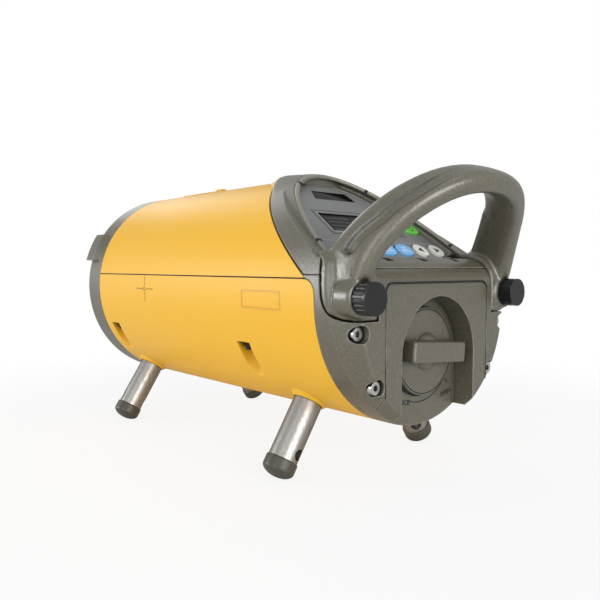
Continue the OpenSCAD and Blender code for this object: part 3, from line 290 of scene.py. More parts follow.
def brushed_lines_group():
    """Fine lines left by turning or brushing, along one direction of the piece."""
    group, given, made = new_group(
        "brushed lines",
        {"Base Color": GREY, "Dark Color": GREY, "Stretch": (60.0, 60.0, 4000.0), "Line Amount": 0.5,
         "Roughness": 0.3, "Roughness Change": 0.15},
        {"Color": "Color", "Roughness": "Float", "Height": "Float"})
    lines = noise(group, calc_vector(group, "MULTIPLY", object_place(group), given["Stretch"]), 1.0, 3.0)
    share = calc(group, "MULTIPLY", lines, given["Line Amount"])
    rough = calc(group, "MULTIPLY_ADD", lines, given["Roughness Change"], given["Roughness"])
    feed(group, made["Color"], mix(group, share, given["Base Color"], given["Dark Color"]))
    feed(group, made["Roughness"], rough)
    feed(group, made["Height"], lines)
    return group


def crevice_shade_group():
    """Painted shade: a darker colour where a surface runs into a seam or a corner."""
    group, given, made = new_group(
        "crevice painted shade", {"Color": GREY, "Openness": 1.0, "Amount": 0.6}, {"Color": "Color"})
    share = calc(group, "MULTIPLY", remap(group, given["Openness"], 0.9, 0.3), given["Amount"])
    feed(group, made["Color"], mix(group, share, given["Color"], CREVICE_SHADE_COLOR, blend="MULTIPLY"))
    return group


def hatched_texture_group():
    """Short crossing strokes of a hand-worked mould face, added to the grain's height."""
    group, given, made = new_group("hatched texture", {"Height": 0.5, "Amount": 0.5}, {"Height": "Float"})
    place = object_place(group)
    strokes = []
    for angle in (0.7, -0.9):
        turned = add_node(group, "ShaderNodeMapping", Vector=place, Rotation=(0.0, angle, 0.0),
                          Scale=(1500.0, 500.0, 260.0))
        strokes.append(noise(group, turned.outputs["Vector"], 1.0, 1.0))
    crossed = calc(group, "MAXIMUM", *strokes)
    feed(group, made["Height"], mix(group, given["Amount"], given["Height"], crossed, data="FLOAT"))
    return group


GRAIN = moulded_grain_group()
CREVICE_SHADE = crevice_shade_group()
HATCH = hatched_texture_group()
RUB_AND_HIGHLIGHT = edge_rub_and_highlight_group()
LINES = brushed_lines_group()


# Finishes

def new_finish(name):
    """A material, its node tree and its shader."""
    mat = bpy.data.materials.new(name)
    mat.use_nodes = True
    return mat, mat.node_tree, mat.node_tree.nodes["Principled BSDF"]


def moulded(name, base, fleck, rubbed_and_lit, grain=900.0, fleck_amount=0.3, rough=0.5, change=0.08,
            bump=0.00002, soft=0.35, rub_and_highlight=0.5, specular=0.5, ior=1.5, crevice=0.0, reach=3.0,
            hatch=0.0, shaded_walls=""):
    """Moulded or painted surface with softened edges, a fine texture and paler corners, partly rubbed wear
    and partly painted highlight.

    Painted shade darkens crevices within their reach, and the walls that the named attribute marks.
    """
    mat, tree, shader = new_finish(name)
    normal = softened_normal(tree, soft)
    texture = place_group(tree, GRAIN, Base_Color=base, Fleck_Color=fleck, Grain_Size=grain,
                          Fleck_Amount=fleck_amount, Roughness=rough, Roughness_Change=change)
    near = openness(tree, reach) if crevice else 1.0
    # Paler edges: partly rubbed wear, partly painted highlight
    color = place_group(tree, RUB_AND_HIGHLIGHT, Color=texture["Color"], Rubbed_Color=rubbed_and_lit, Soft_Normal=normal,
                        Amount=rub_and_highlight, Openness=near)["Color"]
    # Painted shade on the walls that the attribute marks
    if shaded_walls:
        marked = tree.nodes.new("ShaderNodeAttribute")
        marked.attribute_name = shaded_walls
        near = calc(tree, "MULTIPLY_ADD", marked.outputs["Fac"], -0.75, near, clamp=True)
    # Painted shade in crevices and on the marked walls
    if crevice:
        color = place_group(tree, CREVICE_SHADE, Color=color, Openness=near, Amount=crevice)["Color"]
    height = texture["Height"]
    if hatch:
        height = place_group(tree, HATCH, Height=height, Amount=hatch)["Height"]
    feed_named(tree, shader, {
        "Base Color": color, "Roughness": texture["Roughness"], "Specular IOR Level": specular, "IOR": ior,
        "Normal": relief(tree, height, bump, 0.6, normal)})
    return mat


def metal(name, base, dark, stretch, amount=0.5, rough=0.28, change=0.15, crevice=0.0, reach=2.0, dark_rim_reflection=0.0):
    """Bare metal with the lines its tool left, with painted shade in its crevices and a painted dark
    reflection towards its rim where asked.
    """
    mat, tree, shader = new_finish(name)
    lines = place_group(tree, LINES, Base_Color=base, Dark_Color=dark, Stretch=stretch,
                        Line_Amount=amount, Roughness=rough, Roughness_Change=change)
    color = lines["Color"]
    # Painted shade in crevices
    if crevice:
        color = place_group(tree, CREVICE_SHADE, Color=color, Openness=openness(tree, reach), Amount=crevice)["Color"]
    # Painted reflection: darker towards the rim as the surface turns away from view
    if dark_rim_reflection:
        facing = tree.nodes.new("ShaderNodeLayerWeight").outputs["Facing"]
        share = calc(tree, "MULTIPLY", calc(tree, "POWER", facing, 2.2), dark_rim_reflection)
        color = mix(tree, share, color, tone(48, 47, 43))
    feed_named(tree, shader, {
        "Metallic": 1.0, "Base Color": color, "Roughness": lines["Roughness"],
        "Normal": relief(tree, lines["Height"], 0.00001, 0.5, softened_normal(tree, 0.2))})
    return mat


def glass(name, tint, rough=0.03, ior=1.5):
    """Clear or tinted glass with faint smears."""
    mat, tree, shader = new_finish(name)
    texture = place_group(tree, GRAIN, Grain_Size=60.0, Fleck_Amount=0.0, Roughness=rough,
                          Roughness_Change=0.03)
    smeared = tuple(c * 0.86 for c in tint[:3]) + (1,)
    feed_named(tree, shader, {
        "Base Color": mix(tree, texture["Height"], tint, smeared), "Roughness": texture["Roughness"],
        "Transmission Weight": 1.0, "IOR": ior})
    return mat


yellow = moulded("yellow paint", tone(236, 181, 46), tone(242, 193, 72), tone(255, 218, 132),
                 grain=1500.0, fleck_amount=0.35, rough=0.42, bump=0.00004, soft=0.5, rub_and_highlight=0.6, specular=0.3,
                 crevice=0.85, reach=4.0)
plate_paint = moulded("plate frame paint", tone(222, 164, 44), tone(230, 174, 60), tone(250, 206, 110),
                      grain=1500.0, rough=0.4, soft=0.1)
brown_mark = moulded("brown mark", tone(112, 74, 18), tone(126, 86, 26), tone(160, 116, 50),
                     rough=0.6, soft=0.02)
olive = moulded("olive moulding", tone(84, 80, 66), tone(103, 99, 84), tone(176, 172, 156),
                grain=1050.0, fleck_amount=0.75, rough=0.34, bump=0.0002, soft=0.9, rub_and_highlight=0.6, specular=0.9,
                crevice=0.85, reach=3.0)
# Paler olive of the hood's lip: a painted highlight along the rolled lip
lip_highlight_olive = moulded("olive lip with painted highlight", tone(124, 121, 108), tone(140, 137, 124), tone(190, 187, 174),
                    grain=1300.0, fleck_amount=0.5, rough=0.3, bump=0.00008, soft=0.3, rub_and_highlight=0.6, specular=1.0)
grip_olive = moulded("olive grip", tone(84, 80, 66), tone(106, 102, 86), tone(176, 172, 156),
                     grain=1000.0, fleck_amount=0.7, rough=0.3, change=0.1, bump=0.00022, soft=0.6, rub_and_highlight=0.6,
                     specular=1.0, crevice=0.8, reach=3.0, hatch=0.6, shaded_walls="channel_wall_shade")
dark_print = moulded("dark print", tone(34, 34, 32), tone(40, 40, 38), tone(70, 70, 66),
                     rough=0.6, soft=0.02, rub_and_highlight=0.1)
panel = moulded("panel foil", tone(122, 124, 123), tone(130, 132, 131), tone(128, 130, 129),
                grain=2600.0, fleck_amount=0.25, rough=0.45, bump=0.00001, soft=0.3, rub_and_highlight=0.2)
# Pale bars of painted highlight on the display's edges
display_highlight_finish = moulded("panel edge painted highlight", tone(176, 182, 190), tone(186, 192, 200), tone(210, 214, 220),
                      rough=0.3, soft=0.05)
step_line = moulded("panel step", tone(58, 60, 60), tone(64, 66, 66), tone(90, 92, 92), rough=0.5, soft=0.05)
pale_line = moulded("pale panel line", tone(150, 152, 150), tone(158, 160, 158), tone(170, 172, 170),
                    rough=0.5, soft=0.05)
# Black seal rubber, also the finish of the dark pieces that paint shade in gaps and notches
seal_and_shade = moulded("seal rubber and painted shade", tone(26, 26, 25), tone(34, 34, 33), tone(48, 48, 46),
               grain=1200.0, rough=0.75, bump=0.00002, soft=0.2, rub_and_highlight=0.2)
black = moulded("black moulding", tone(14, 15, 17), tone(24, 26, 28), tone(96, 100, 104),
                grain=1500.0, fleck_amount=0.4, rough=0.3, bump=0.00005, soft=0.4, rub_and_highlight=0.5,
                crevice=0.8, reach=2.0)
foot_rubber = moulded("foot rubber", tone(66, 64, 54), tone(78, 76, 65), tone(110, 108, 98),
                      grain=1400.0, fleck_amount=0.4, rough=0.4, bump=0.00005, soft=0.8, rub_and_highlight=0.3,
                      specular=0.55, crevice=0.7, reach=2.0)
white_key = moulded("white key", tone(226, 226, 220), tone(234, 234, 229), tone(240, 240, 236),
                    grain=1800.0, rough=0.5, bump=0.00001, soft=0.45, rub_and_highlight=0.2)
blue_key = moulded("blue key", tone(120, 186, 240), tone(134, 196, 246), tone(160, 210, 250),
                   grain=1800.0, rough=0.5, bump=0.00001, soft=0.45, rub_and_highlight=0.2)
green_key = moulded("green key", tone(112, 214, 78), tone(126, 224, 92), tone(160, 236, 130),
                    grain=1800.0, rough=0.5, bump=0.00001, soft=0.45, rub_and_highlight=0.2)
white_print = moulded("white print", tone(214, 228, 240), tone(222, 234, 244), tone(236, 240, 246),
                      rough=0.5, soft=0.02)
dark_filter = moulded("dark filter", tone(8, 8, 10), tone(11, 11, 13), tone(34, 34, 38),
                      grain=500.0, rough=0.08, change=0.04, bump=0.000002, soft=0.2, rub_and_highlight=0.1, ior=1.22)
display = moulded("display module", tone(18, 20, 19), tone(24, 26, 25), tone(52, 56, 52),
                  grain=3000.0, rough=0.25, bump=0.000004, soft=0.1, rub_and_highlight=0.1)
board = moulded("circuit board", tone(30, 86, 52), tone(38, 100, 62), tone(120, 140, 90),
                grain=420.0, fleck_amount=0.6, rough=0.4, bump=0.00002, soft=0.15, rub_and_highlight=0.3)
alloy = moulded("cast alloy", tone(150, 152, 154), tone(164, 166, 168), tone(196, 198, 200),
                grain=700.0, fleck_amount=0.5, rough=0.48, bump=0.00006, soft=0.3, rub_and_highlight=0.5)
black_alloy = moulded("black anodised alloy", tone(30, 30, 33), tone(38, 38, 42), tone(110, 110, 114),
                      grain=2000.0, rough=0.35, bump=0.00001, soft=0.2, rub_and_highlight=0.6)
cell_wrap = moulded("cell wrap", tone(44, 58, 84), tone(52, 68, 96), tone(90, 104, 130),
                    grain=300.0, rough=0.3, bump=0.00001, soft=0.5, rub_and_highlight=0.3)
leg_steel = metal("brushed stainless", tone(186, 184, 180), tone(134, 132, 127), (900.0, 900.0, 60.0),
                  amount=0.8, rough=0.3, change=0.2, dark_rim_reflection=0.9)
screw_steel = metal("screw steel", tone(214, 214, 212), tone(150, 150, 148), (700.0, 700.0, 700.0),
                    rough=0.22, crevice=0.95, reach=1.8)
# Dark finish of the casing screws: painted shade in their slots
shaded_screw_dark = metal("screw painted dark as shade", tone(40, 38, 34), tone(26, 25, 23), (700.0, 700.0, 700.0), rough=0.4)
bright_steel = metal("bright steel", tone(190, 191, 192), tone(140, 141, 142), (300.0, 900.0, 900.0),
                     rough=0.25)
brass = metal("brass", tone(206, 170, 98), tone(166, 130, 66), (400.0, 900.0, 900.0))
window_glass = glass("window glass", tone(232, 240, 238))
display_glass = glass("display glass", tone(74, 78, 82), rough=0.04, ior=1.2)
lens_glass = glass("lens glass", tone(225, 236, 245), rough=0.01, ior=1.6)

FINISHES = {
    "yellow_paint": yellow, "olive_plastic": olive, "panel_face": panel, "seal_rubber": seal_and_shade,
    "screw_steel": screw_steel, "window_glass": window_glass, "display_glass": display_glass,
    "display_module": display, "dark_filter": dark_filter, "black_plastic": black,
    "white_key": white_key, "blue_key": blue_key, "green_key": green_key, "leg_steel": leg_steel,
    "foot_rubber": foot_rubber, "board": board, "cast_alloy": alloy, "black_alloy": black_alloy,
    "lens_glass": lens_glass, "brass": brass, "bright_steel": bright_steel, "cell_wrap": cell_wrap,
}


def dress_nodes():
    """Gives every node of the frame the finish of its slot in the record, but the casing screws a dark finish
    that paints the shade in their slots.
    """
    slots = {part["node"]: part["material_slot"] for part in frame["record"]["subparts"]}
    # Casing screws darkened: painted shade in their slots
    own = {"casing_screws": shaded_screw_dark}
    for name, obj in nodes.items():
        finish = own.get(name, FINISHES[slots[name]])
        if not obj.material_slots:
            obj.data.materials.append(finish)
        for place in obj.material_slots:
            place.material = finish


# Piece helpers

def make_piece(name, bm, body, finish, smooth=False):
    """Turns a finished bmesh, already in its place, into a riding piece."""
    mesh = bpy.data.meshes.new(name)
    bm.to_mesh(mesh)
    bm.free()
    if smooth:
        mesh.shade_smooth()
    mesh.materials.append(finish)
    obj = bpy.data.objects.new(name, mesh)
    bpy.context.scene.collection.objects.link(obj)
    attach(obj, body)
    return obj


def add_bar(bm, matrix, length, width, height):
    """A bar centred on the matrix, standing half in and half out of the surface."""
    scale = Matrix.Diagonal((length / 1000, width / 1000, height / 1000, 1))
    bmesh.ops.create_cube(bm, size=1.0, matrix=matrix @ scale)


def add_drum(bm, matrix, radius, height, segments):
    """A disc about the matrix's Z axis, or with three segments an arrowhead along its X axis."""
    bmesh.ops.create_cone(bm, cap_ends=True, segments=segments, radius1=radius / 1000,
                          radius2=radius / 1000, depth=height / 1000, matrix=matrix)


def spin_axis(matrix):
    """The matrix's Z axis as a direction."""
    return (matrix.to_3x3() @ Vector((0, 0, 1))).normalized()


def add_ring(bm, matrix, radius, width, height, segments, start=0.0, sweep=360.0):
    """A flat ring or arc of a small rectangular section, spun about the matrix's Z axis."""
    inner, outer = (radius - width / 2) / 1000, (radius + width / 2) / 1000
    low, high = -height / 2000, height / 2000
    turned = matrix @ spin_z(start)
    corners = [bm.verts.new(turned @ Vector((r, 0, h)))
               for r, h in ((inner, low), (outer, low), (outer, high), (inner, high))]
    face = bm.faces.new(corners)
    full = sweep >= 360
    bmesh.ops.spin(bm, geom=[face, *face.edges, *corners], cent=matrix.translation, axis=spin_axis(matrix),
                   angle=math.radians(sweep), steps=round(segments * sweep / 360), use_merge=full)
    if full:
        bmesh.ops.delete(bm, geom=[face], context="FACES_ONLY")
    bmesh.ops.recalc_face_normals(bm, faces=bm.faces)


def add_bead(bm, path, radius, sides):
    """A round bead along a path, given from the ring and the axis."""
    ring = bmesh.ops.create_circle(bm, cap_ends=False, segments=sides, radius=radius / 1000)["verts"]
    previous = None
    for i, p in enumerate(path):
        ahead = path[min(i + 1, len(path) - 1)] - path[max(i - 1, 0)]
        turn = ahead.to_track_quat("Z", "Y").to_matrix().to_4x4()
        place = Matrix.Translation(at(*p)) @ turn
        if previous is None:
            bmesh.ops.transform(bm, matrix=place, verts=ring)
            edges = list({e for v in ring for e in v.link_edges})
            bmesh.ops.contextual_create(bm, geom=edges)
        else:
            made = bmesh.ops.extrude_edge_only(bm, edges=edges)["geom"]
            ring = [g for g in made if isinstance(g, bmesh.types.BMVert)]
            edges = [g for g in made if isinstance(g, bmesh.types.BMEdge)
                     and all(v in ring for v in g.verts)]
            bmesh.ops.transform(bm, matrix=place @ previous.inverted(), verts=ring)
        previous = place
    bmesh.ops.contextual_create(bm, geom=edges)
    bmesh.ops.recalc_face_normals(bm, faces=bm.faces)


def round_edges(bm, radius, steps):
    """Rounds every sharp edge."""
    sharp = [e for e in bm.edges if e.is_manifold and e.calc_face_angle() > math.radians(40)]
    bmesh.ops.bevel(bm, geom=sharp, offset=radius / 1000, offset_type="OFFSET", affect="EDGES",
                    segments=steps, profile=0.5, clamp_overlap=True, material=-1)


def smooth_skin(bm, verts, times):
    """Evens out a skin by moving each vertex halfway to its neighbours' middle."""
    for _ in range(times):
        bmesh.ops.smooth_vert(bm, verts=verts, factor=0.5, use_axis_x=True, use_axis_y=True, use_axis_z=True)


def append(bm, other):
    """Adds a second bmesh to the first."""
    mesh = bpy.data.meshes.new("part")
    other.to_mesh(mesh)
    other.free()
    bm.from_mesh(mesh)
    bpy.data.meshes.remove(mesh)


def word(text, size, matrix):
    """Printed lettering as a mesh, its middle on the matrix."""
    curve = bpy.data.curves.new("lettering", "FONT")
    curve.body = text
    curve.size = size / 1000
    curve.align_x = "CENTER"
    curve.align_y = "CENTER"
    curve.extrude = 0.00004
    curve.resolution_u = 3
    curve.offset = size * 0.000022
    carrier = bpy.data.objects.new("lettering", curve)
    mesh = bpy.data.meshes.new_from_object(carrier)
    bm = bmesh.new()
    bm.from_mesh(mesh)
    bmesh.ops.transform(bm, matrix=matrix, verts=bm.verts)
    bpy.data.objects.remove(carrier)
    bpy.data.curves.remove(curve)
    bpy.data.meshes.remove(mesh)
    return bm


# Handle

# Middle of the grip seen from the side, along the body and up, near its foot
FOOT_LINE = ((-13.0, 16.0), (-14.1, 19.4), (-15.8, 22.6), (-19.1, 26.9), (-25.1, 32.3), (-30.3, 39.0),
             (-37.4, 46.1), (-41.0, 53.0))

# Middle of the left finger channel, from its round lower end to its shallow upper end
CHANNEL = [Vector(p) for p in (
    (-14.9, 55.4, 21.0), (-16.2, 54.6, 23.2), (-19.1, 52.6, 26.9), (-25.1, 48.7, 32.3), (-30.3, 42.9, 39.0),
    (-34.1, 39.1, 42.1), (-37.4, 33.4, 46.1), (-40.7, 24.8, 50.5), (-41.6, 12.3, 54.5))]
CHANNEL_HALF = 3.0
CHANNEL_DEPTH = 2.1

# The grip's sides lie flush with the ears at this radius, up to this height
FLUSH_R = 60.9
FLUSH_TOP = 26
# The feet spread forward by this much, from this height up to the next
FLARE = 4.6
FLARE_START = 16.5
FLARE_TOP = 52


def handle_grip():
    """The handle as one smooth moulding, its joins rounded and its finger channels cut."""
    bm = bmesh.new()
    bm.from_mesh(nodes["handle"].data)
    bmesh.ops.remove_doubles(bm, verts=bm.verts, dist=0.00001)
    mesh = bpy.data.meshes.new("handle block")
    bm.to_mesh(mesh)
    bm.free()
    block = bpy.data.objects.new("handle block", mesh)
    bpy.context.scene.collection.objects.link(block)
    voxel = block.modifiers.new("even skin", "REMESH")
    voxel.mode = "VOXEL"
    voxel.voxel_size = 0.0006
    skin = bpy.data.meshes.new_from_object(block.evaluated_get(bpy.context.evaluated_depsgraph_get()))
    bpy.data.objects.remove(block)
    bm = bmesh.new()
    bm.from_mesh(skin)
    bpy.data.meshes.remove(skin)
    flare_feet(bm)
    smooth_skin(bm, [v for v in bm.verts if near_join(v.co)], 9)
    smooth_skin(bm, bm.verts, 9)
    cut_channels(bm)
    smooth_skin(bm, bm.verts, 2)
    piece = make_piece("handle_moulding", bm, "main", grip_olive, smooth=True)
    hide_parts("handle")


def from_knob(p):
    """Distance from the thumb screws' axis, seen from the side."""
    return math.hypot(p.x - KNOB_X, p.z - KNOB_Z)


def near_join(co):
    """True where the grip grows out of an ear, clear of the knob's bore and the ear's seams."""
    p = from_ring(co)
    return 16 < p.z < 33 and from_knob(p) > 9


def foot_middle(z):
    """Middle of the grip along the body at a height near its foot."""
    i = next((i for i in range(len(FOOT_LINE) - 2) if z < FOOT_LINE[i + 1][1]), len(FOOT_LINE) - 2)
    (x0, z0), (x1, z1) = FOOT_LINE[i:i + 2]
    return x0 + (x1 - x0) * ((z - z0) / (z1 - z0))


def flare_feet(bm):
    """Spreads each foot of the grip forward over its ear and keeps its side flush with the ear's."""
    for v in bm.verts:
        p = from_ring(v.co)
        if abs(p.y) < 34 or not 4 < p.z < FLARE_TOP:
            continue
        if p.z < FLUSH_TOP:
            reach = math.hypot(p.y, p.z)
            hold = min(1.0, (FLUSH_TOP - p.z) / 9)
            if reach > FLUSH_R and from_knob(p) > 10:
                v.co.y *= 1 - hold * (1 - FLUSH_R / reach)
        if p.z > FLARE_START:
            front = max(0.0, min(1.0, (p.x - foot_middle(p.z)) / 8.0))
            rise = (FLARE_TOP - p.z) / 34
            start = min(1.0, (p.z - FLARE_START) / 2.5)
            v.co.x += FLARE / 1000 * start * rise ** 1.4 * front


def nearest_channel(p):
    """Distance to the channel's middle, and how far up the channel that is, from 0 to 1."""
    best, place = math.inf, 0.0
    for i, (a, b) in enumerate(zip(CHANNEL, CHANNEL[1:])):
        t = max(0.0, min(1.0, (p - a).dot(b - a) / (b - a).length_squared))
        gap = (p - a.lerp(b, t)).length
        if gap < best:
            best, place = gap, (i + t) / (len(CHANNEL) - 1)
    return best, place


def cut_channels(bm):
    """Pushes the skin in along a channel on each side of the grip and marks the channel's walls for painted
    shade.
    """
    moves = {}
    wall_shade = bm.verts.layers.float.new("channel_wall_shade")
    bm.normal_update()
    for v in bm.verts:
        p = from_ring(v.co)
        p.y = abs(p.y)
        if p.z < 14 or p.y < 8:
            continue
        outward = v.normal.y if v.co.y > 0 else -v.normal.y
        if outward < 0.1 and v.normal.z < 0.2:
            continue
        gap, place = nearest_channel(p)
        # Share of painted shade on the channel's walls
        v[wall_shade] = max(0.0, 1 - abs(gap - 2.6) / 0.9) * min(1.0, (1 - place) * 4)
        if gap <= CHANNEL_HALF:
            floor = 1 - (gap / CHANNEL_HALF) ** 2
            depth = CHANNEL_DEPTH * (1 - 0.55 * place) * min(1.0, (1 - place) * 5)
            moves[v] = depth * min(1.0, floor * 2.2)
    for v, depth in moves.items():
        v.co -= v.normal * depth / 1000


# Marks on the casing

def aiming_marks():
    """The dashed cross on each side at the laser's pivot."""
    for side, angle in (("left", 0.0), ("right", 180.0)):
        bm = bmesh.new()
        middle = skin_matrix(PIVOT_X, angle)
        for s in (-1, 1):
            for low, high in ((2.4, 5.4), (6.4, 9.8)):
                place = middle @ Matrix.Translation((s * (low + high) / 2000, 0, 0))
                add_bar(bm, place, high - low, 0.45, PRINT_T)
            for low, high in ((2.0, 4.0), (4.6, 7.4)):
                turn = s * math.degrees((low + high) / 2 / BODY_R)
                add_bar(bm, skin_matrix(PIVOT_X, angle + turn), 0.45, high - low, PRINT_T)
        add_ring(bm, middle, 1.15, 0.4, PRINT_T, 20)
        make_piece("cross_mark_" + side, bm, "main", brown_mark)


def bare_plate():
    """The shallow frame where a plate would sit, left empty."""
    middle_x, middle_arc, half_len, half_height = 36.2, -2.0, 14.0, 4.0
    line, proud = 0.5, 0.3
    pieces = 4
    step = 2 * half_height / pieces

    def spot(x, arc):
        return skin_matrix(x, math.degrees(arc / BODY_R))
    bm = bmesh.new()
    for s in (-1, 1):
        add_bar(bm, spot(middle_x, middle_arc + s * half_height), 2 * half_len + 0.4, line, proud)
        for i in range(pieces):
            arc = middle_arc + (i - (pieces - 1) / 2) * step
            add_bar(bm, spot(middle_x + s * half_len, arc), line, step + 0.1, proud)
    make_piece("bare_plate_frame", bm, "main", plate_paint)


# Lock and battery cover

def lock_marks():
    """LOCK and OPEN, their ticks and the turning arrow on the recess floor, and a dark ring in the gap round
    the disc, painted shade of that gap.
    """
    letter, arc_r, arc_line, gap_r, gap_w = 3.3, 24.2, 0.5, 20.95, 0.95
    tick, tick_line, arrow = 3.2, 0.6, 1.1

    def spot(y, z, turn=0.0, x=RECESS_X):
        return rear_matrix(x, y, z) @ spin_z(turn)
    for text, y, z, turn in (("LOCK", 11.2, -49.4, -9), ("OPEN", -20.6, -48.7, 14)):
        printed = word(text, letter, spot(y, z, turn))
        make_piece("word_" + text.lower(), printed, "drawer", dark_print)
    bm = bmesh.new()
    add_ring(bm, spot(0, LOCK_Z), arc_r, arc_line, PRINT_T, 96, start=-112, sweep=68)
    for y, z, turn in ((8.8, -39.5, 60), (-21.0, -42.8, -45)):
        add_bar(bm, spot(y, z, turn), tick, tick_line, PRINT_T)
    add_drum(bm, spot(11.6, -43.6, 140), arrow, PRINT_T, 3)
    make_piece("lock_arrow", bm, "drawer", dark_print)
    # Dark ring in the gap round the disc: painted shade
    bm = bmesh.new()
    add_ring(bm, spot(0, LOCK_Z, x=-7.6), gap_r, gap_w, 0.5, 96)
    make_piece("lock_gap_shade", bm, "drawer", seal_and_shade)


def add_boss(bm, hub):
    """The turned boss in the middle of the lock's disc."""
    dark_rim_reflection = [bm.verts.new(hub @ Vector((r / 1000, 0, h / 1000)))
           for r, h in ((9.0, -0.5), (9.0, 0.0), (8.4, 1.3), (7.2, 2.6), (5.4, 3.6), (2.8, 4.4), (0.0, 4.7))]
    sides = [bm.edges.new(pair) for pair in zip(dark_rim_reflection, dark_rim_reflection[1:])]
    bmesh.ops.spin(bm, geom=[*dark_rim_reflection, *sides], cent=hub.translation, axis=spin_axis(hub),
                   angle=math.radians(360), steps=48, use_merge=True)
    bmesh.ops.remove_doubles(bm, verts=bm.verts, dist=0.00001)
    bmesh.ops.holes_fill(bm, edges=bm.edges)


def lock_grip():
    """The lock knob: disc, turned boss and a bar with rounded edges, a little off level as photographed, and
    a dark ring near the disc's edge that paints the shade of the line round it.
    """
    disc_r, disc_t = 20.5, 4.5
    bar_l, bar_w, bar_h = 38.6, 9.7, 9.2
    line_r, line_w = 19.7, 0.5
    hub = rear_matrix(LOCK_FACE_X, 0, LOCK_Z)
    bm = bmesh.new()
    add_drum(bm, hub @ Matrix.Translation((0, 0, -disc_t / 2000)), disc_r, disc_t, 96)
    round_edges(bm, 0.45, 2)
    bar = bmesh.new()
    add_bar(bar, hub @ spin_z(-4.5) @ Matrix.Translation((0, 0.0004, 0.0044)), bar_l, bar_w, bar_h)
    round_edges(bar, 1.3, 4)
    append(bm, bar)
    boss = bmesh.new()
    add_boss(boss, hub)
    append(bm, boss)
    bmesh.ops.recalc_face_normals(bm, faces=bm.faces)
    piece = make_piece("lock_grip", bm, "lock", olive)
    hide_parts("lock_knob")
    # Dark ring just inside the disc's edge: painted shade of the line round the disc
    bm = bmesh.new()
    add_ring(bm, hub, line_r, line_w, 0.12, 96)
    make_piece("lock_grip_shade_line", bm, "lock", seal_and_shade)


def cover_seam():
    """A black bead in the gap between the battery cover and the rear housing, as it shows on the rear face:
    the seal's dark edge and painted shade of the deep gap.
    """
    half, top, corner, low = 37.65, 6.35, 4.15, -42.0
    bead_r = 0.34
    path = [(half, low)]
    for i in range(7):
        a = math.radians(15 * i)
        path.append((half - corner + corner * math.cos(a), top - corner + corner * math.sin(a)))
    path += [(-y, z) for y, z in reversed(path)]
    bm = bmesh.new()
    add_bead(bm, [Vector((REAR_X, y, z)) for y, z in path], bead_r, 8)
    make_piece("cover_seam", bm, "main", seal_and_shade)


# Keys, hood and display

def key_marks():
    """Plain symbols on the keys."""
    arrow, line, line_gap = 2.3, 0.5, 1.5
    power_r, power_line, power_tick = 1.9, 0.55, 2.2
    # Key, its place counted from the middle key to the left, and its arrow's turn
    arrows = (("key_left", 2, 90), ("key_right", 1, -90), ("key_up", -2, 0), ("key_down", -3, 180))
    # Key, its place, and half the length of each of its lines
    bars = (("key_mode", 0, (3.4, 3.4, 3.4)), ("key_speed", -1, (3.4, 2.4, 1.6)))

    def key_face(row, y):
        return slope_matrix(row, y, KEY_TOP + 0.02)
    for name, place, turn in arrows:
        bm = bmesh.new()
        add_drum(bm, key_face(KEY_ROW, place * KEY_PITCH) @ spin_z(turn), arrow, PRINT_T, 3)
        make_piece(name + "_arrow", bm, name, dark_print)
    for name, place, halves in bars:
        bm = bmesh.new()
        for i, half in enumerate(halves):
            add_bar(bm, key_face(KEY_ROW + (i - 1) * line_gap, place * KEY_PITCH), line, 2 * half, PRINT_T)
        make_piece(name + "_lines", bm, name, white_print)
    bm = bmesh.new()
    hub = key_face(POWER_ROW, POWER_Y)
    add_ring(bm, hub, power_r, power_line, PRINT_T, 32, start=30, sweep=300)
    add_bar(bm, hub @ Matrix.Translation((0.0015, 0, 0)), power_tick, power_line, PRINT_T)
    make_piece("key_power_symbol", bm, "key_power", dark_print)


def hood_lip_point(radius, lift, turn):
    """A point on the plane above the slope, at a turn from straight up about the hood's own axis."""
    along = Vector((math.cos(HOOD_TILT), 0, math.sin(HOOD_TILT)))
    side = Vector((0, 1, 0))
    up = along.cross(side)
    foot = Vector((SLOPE_FOOT[0] + (HOOD_CROWN - SLOPE_FOOT[2]) / math.tan(SLOPE), 0, HOOD_AXIS_Z))
    a = math.radians(turn)
    out = side * math.sin(a) + up * math.cos(a)
    plane = Vector((-math.sin(SLOPE), 0, math.cos(SLOPE)))
    start = Vector(SLOPE_FOOT) + plane * lift
    place = foot + out * radius
    return place + along * ((start - place).dot(plane) / along.dot(plane))


def hood_lip():
    """The rolled lip round the panel's recess, in a paler olive that paints a highlight along it."""
    radius, lift, bead_r, lowest = 51.75, 10.1, 1.15, 18.2
    bm = bmesh.new()
    path = [hood_lip_point(radius, lift, turn) for turn in range(-82, 83, 2)]
    add_bead(bm, [p for p in path if p.z > lowest], bead_r, 12)
    make_piece("hood_lip", bm, "main", lip_highlight_olive, smooth=True)


def hood_cove():
    """The hollow between the lip and the panel, wider towards its lower ends."""
    radius, top, drop, lowest = 50.9, 9.7, 3.6, 17.6
    narrow, widening = 3.7, 2.0
    bm = bmesh.new()
    bmesh.ops.create_grid(bm, x_segments=86, y_segments=8, size=1.0)
    for v in bm.verts:
        turn = 85 * v.co.x
        a = math.radians(45 + 45 * v.co.y)
        low = max(0.0, min(1.0, (30.0 - hood_lip_point(radius, 9.6, turn).z) / 14.0))
        fillet = narrow + widening * low * low
        v.co = at(*hood_lip_point(radius - fillet * (1 - math.cos(a)), top - drop * math.sin(a), turn))
    below = [v for v in bm.verts if from_ring(v.co).z < lowest]
    bmesh.ops.delete(bm, geom=below, context="VERTS")
    bmesh.ops.recalc_face_normals(bm, faces=bm.faces)
    if sum(f.normal.z for f in bm.faces) < 0:
        bmesh.ops.reverse_faces(bm, faces=bm.faces)
    bmesh.ops.solidify(bm, geom=bm.faces, thickness=0.0004)
    make_piece("hood_cove", bm, "main", olive, smooth=True)


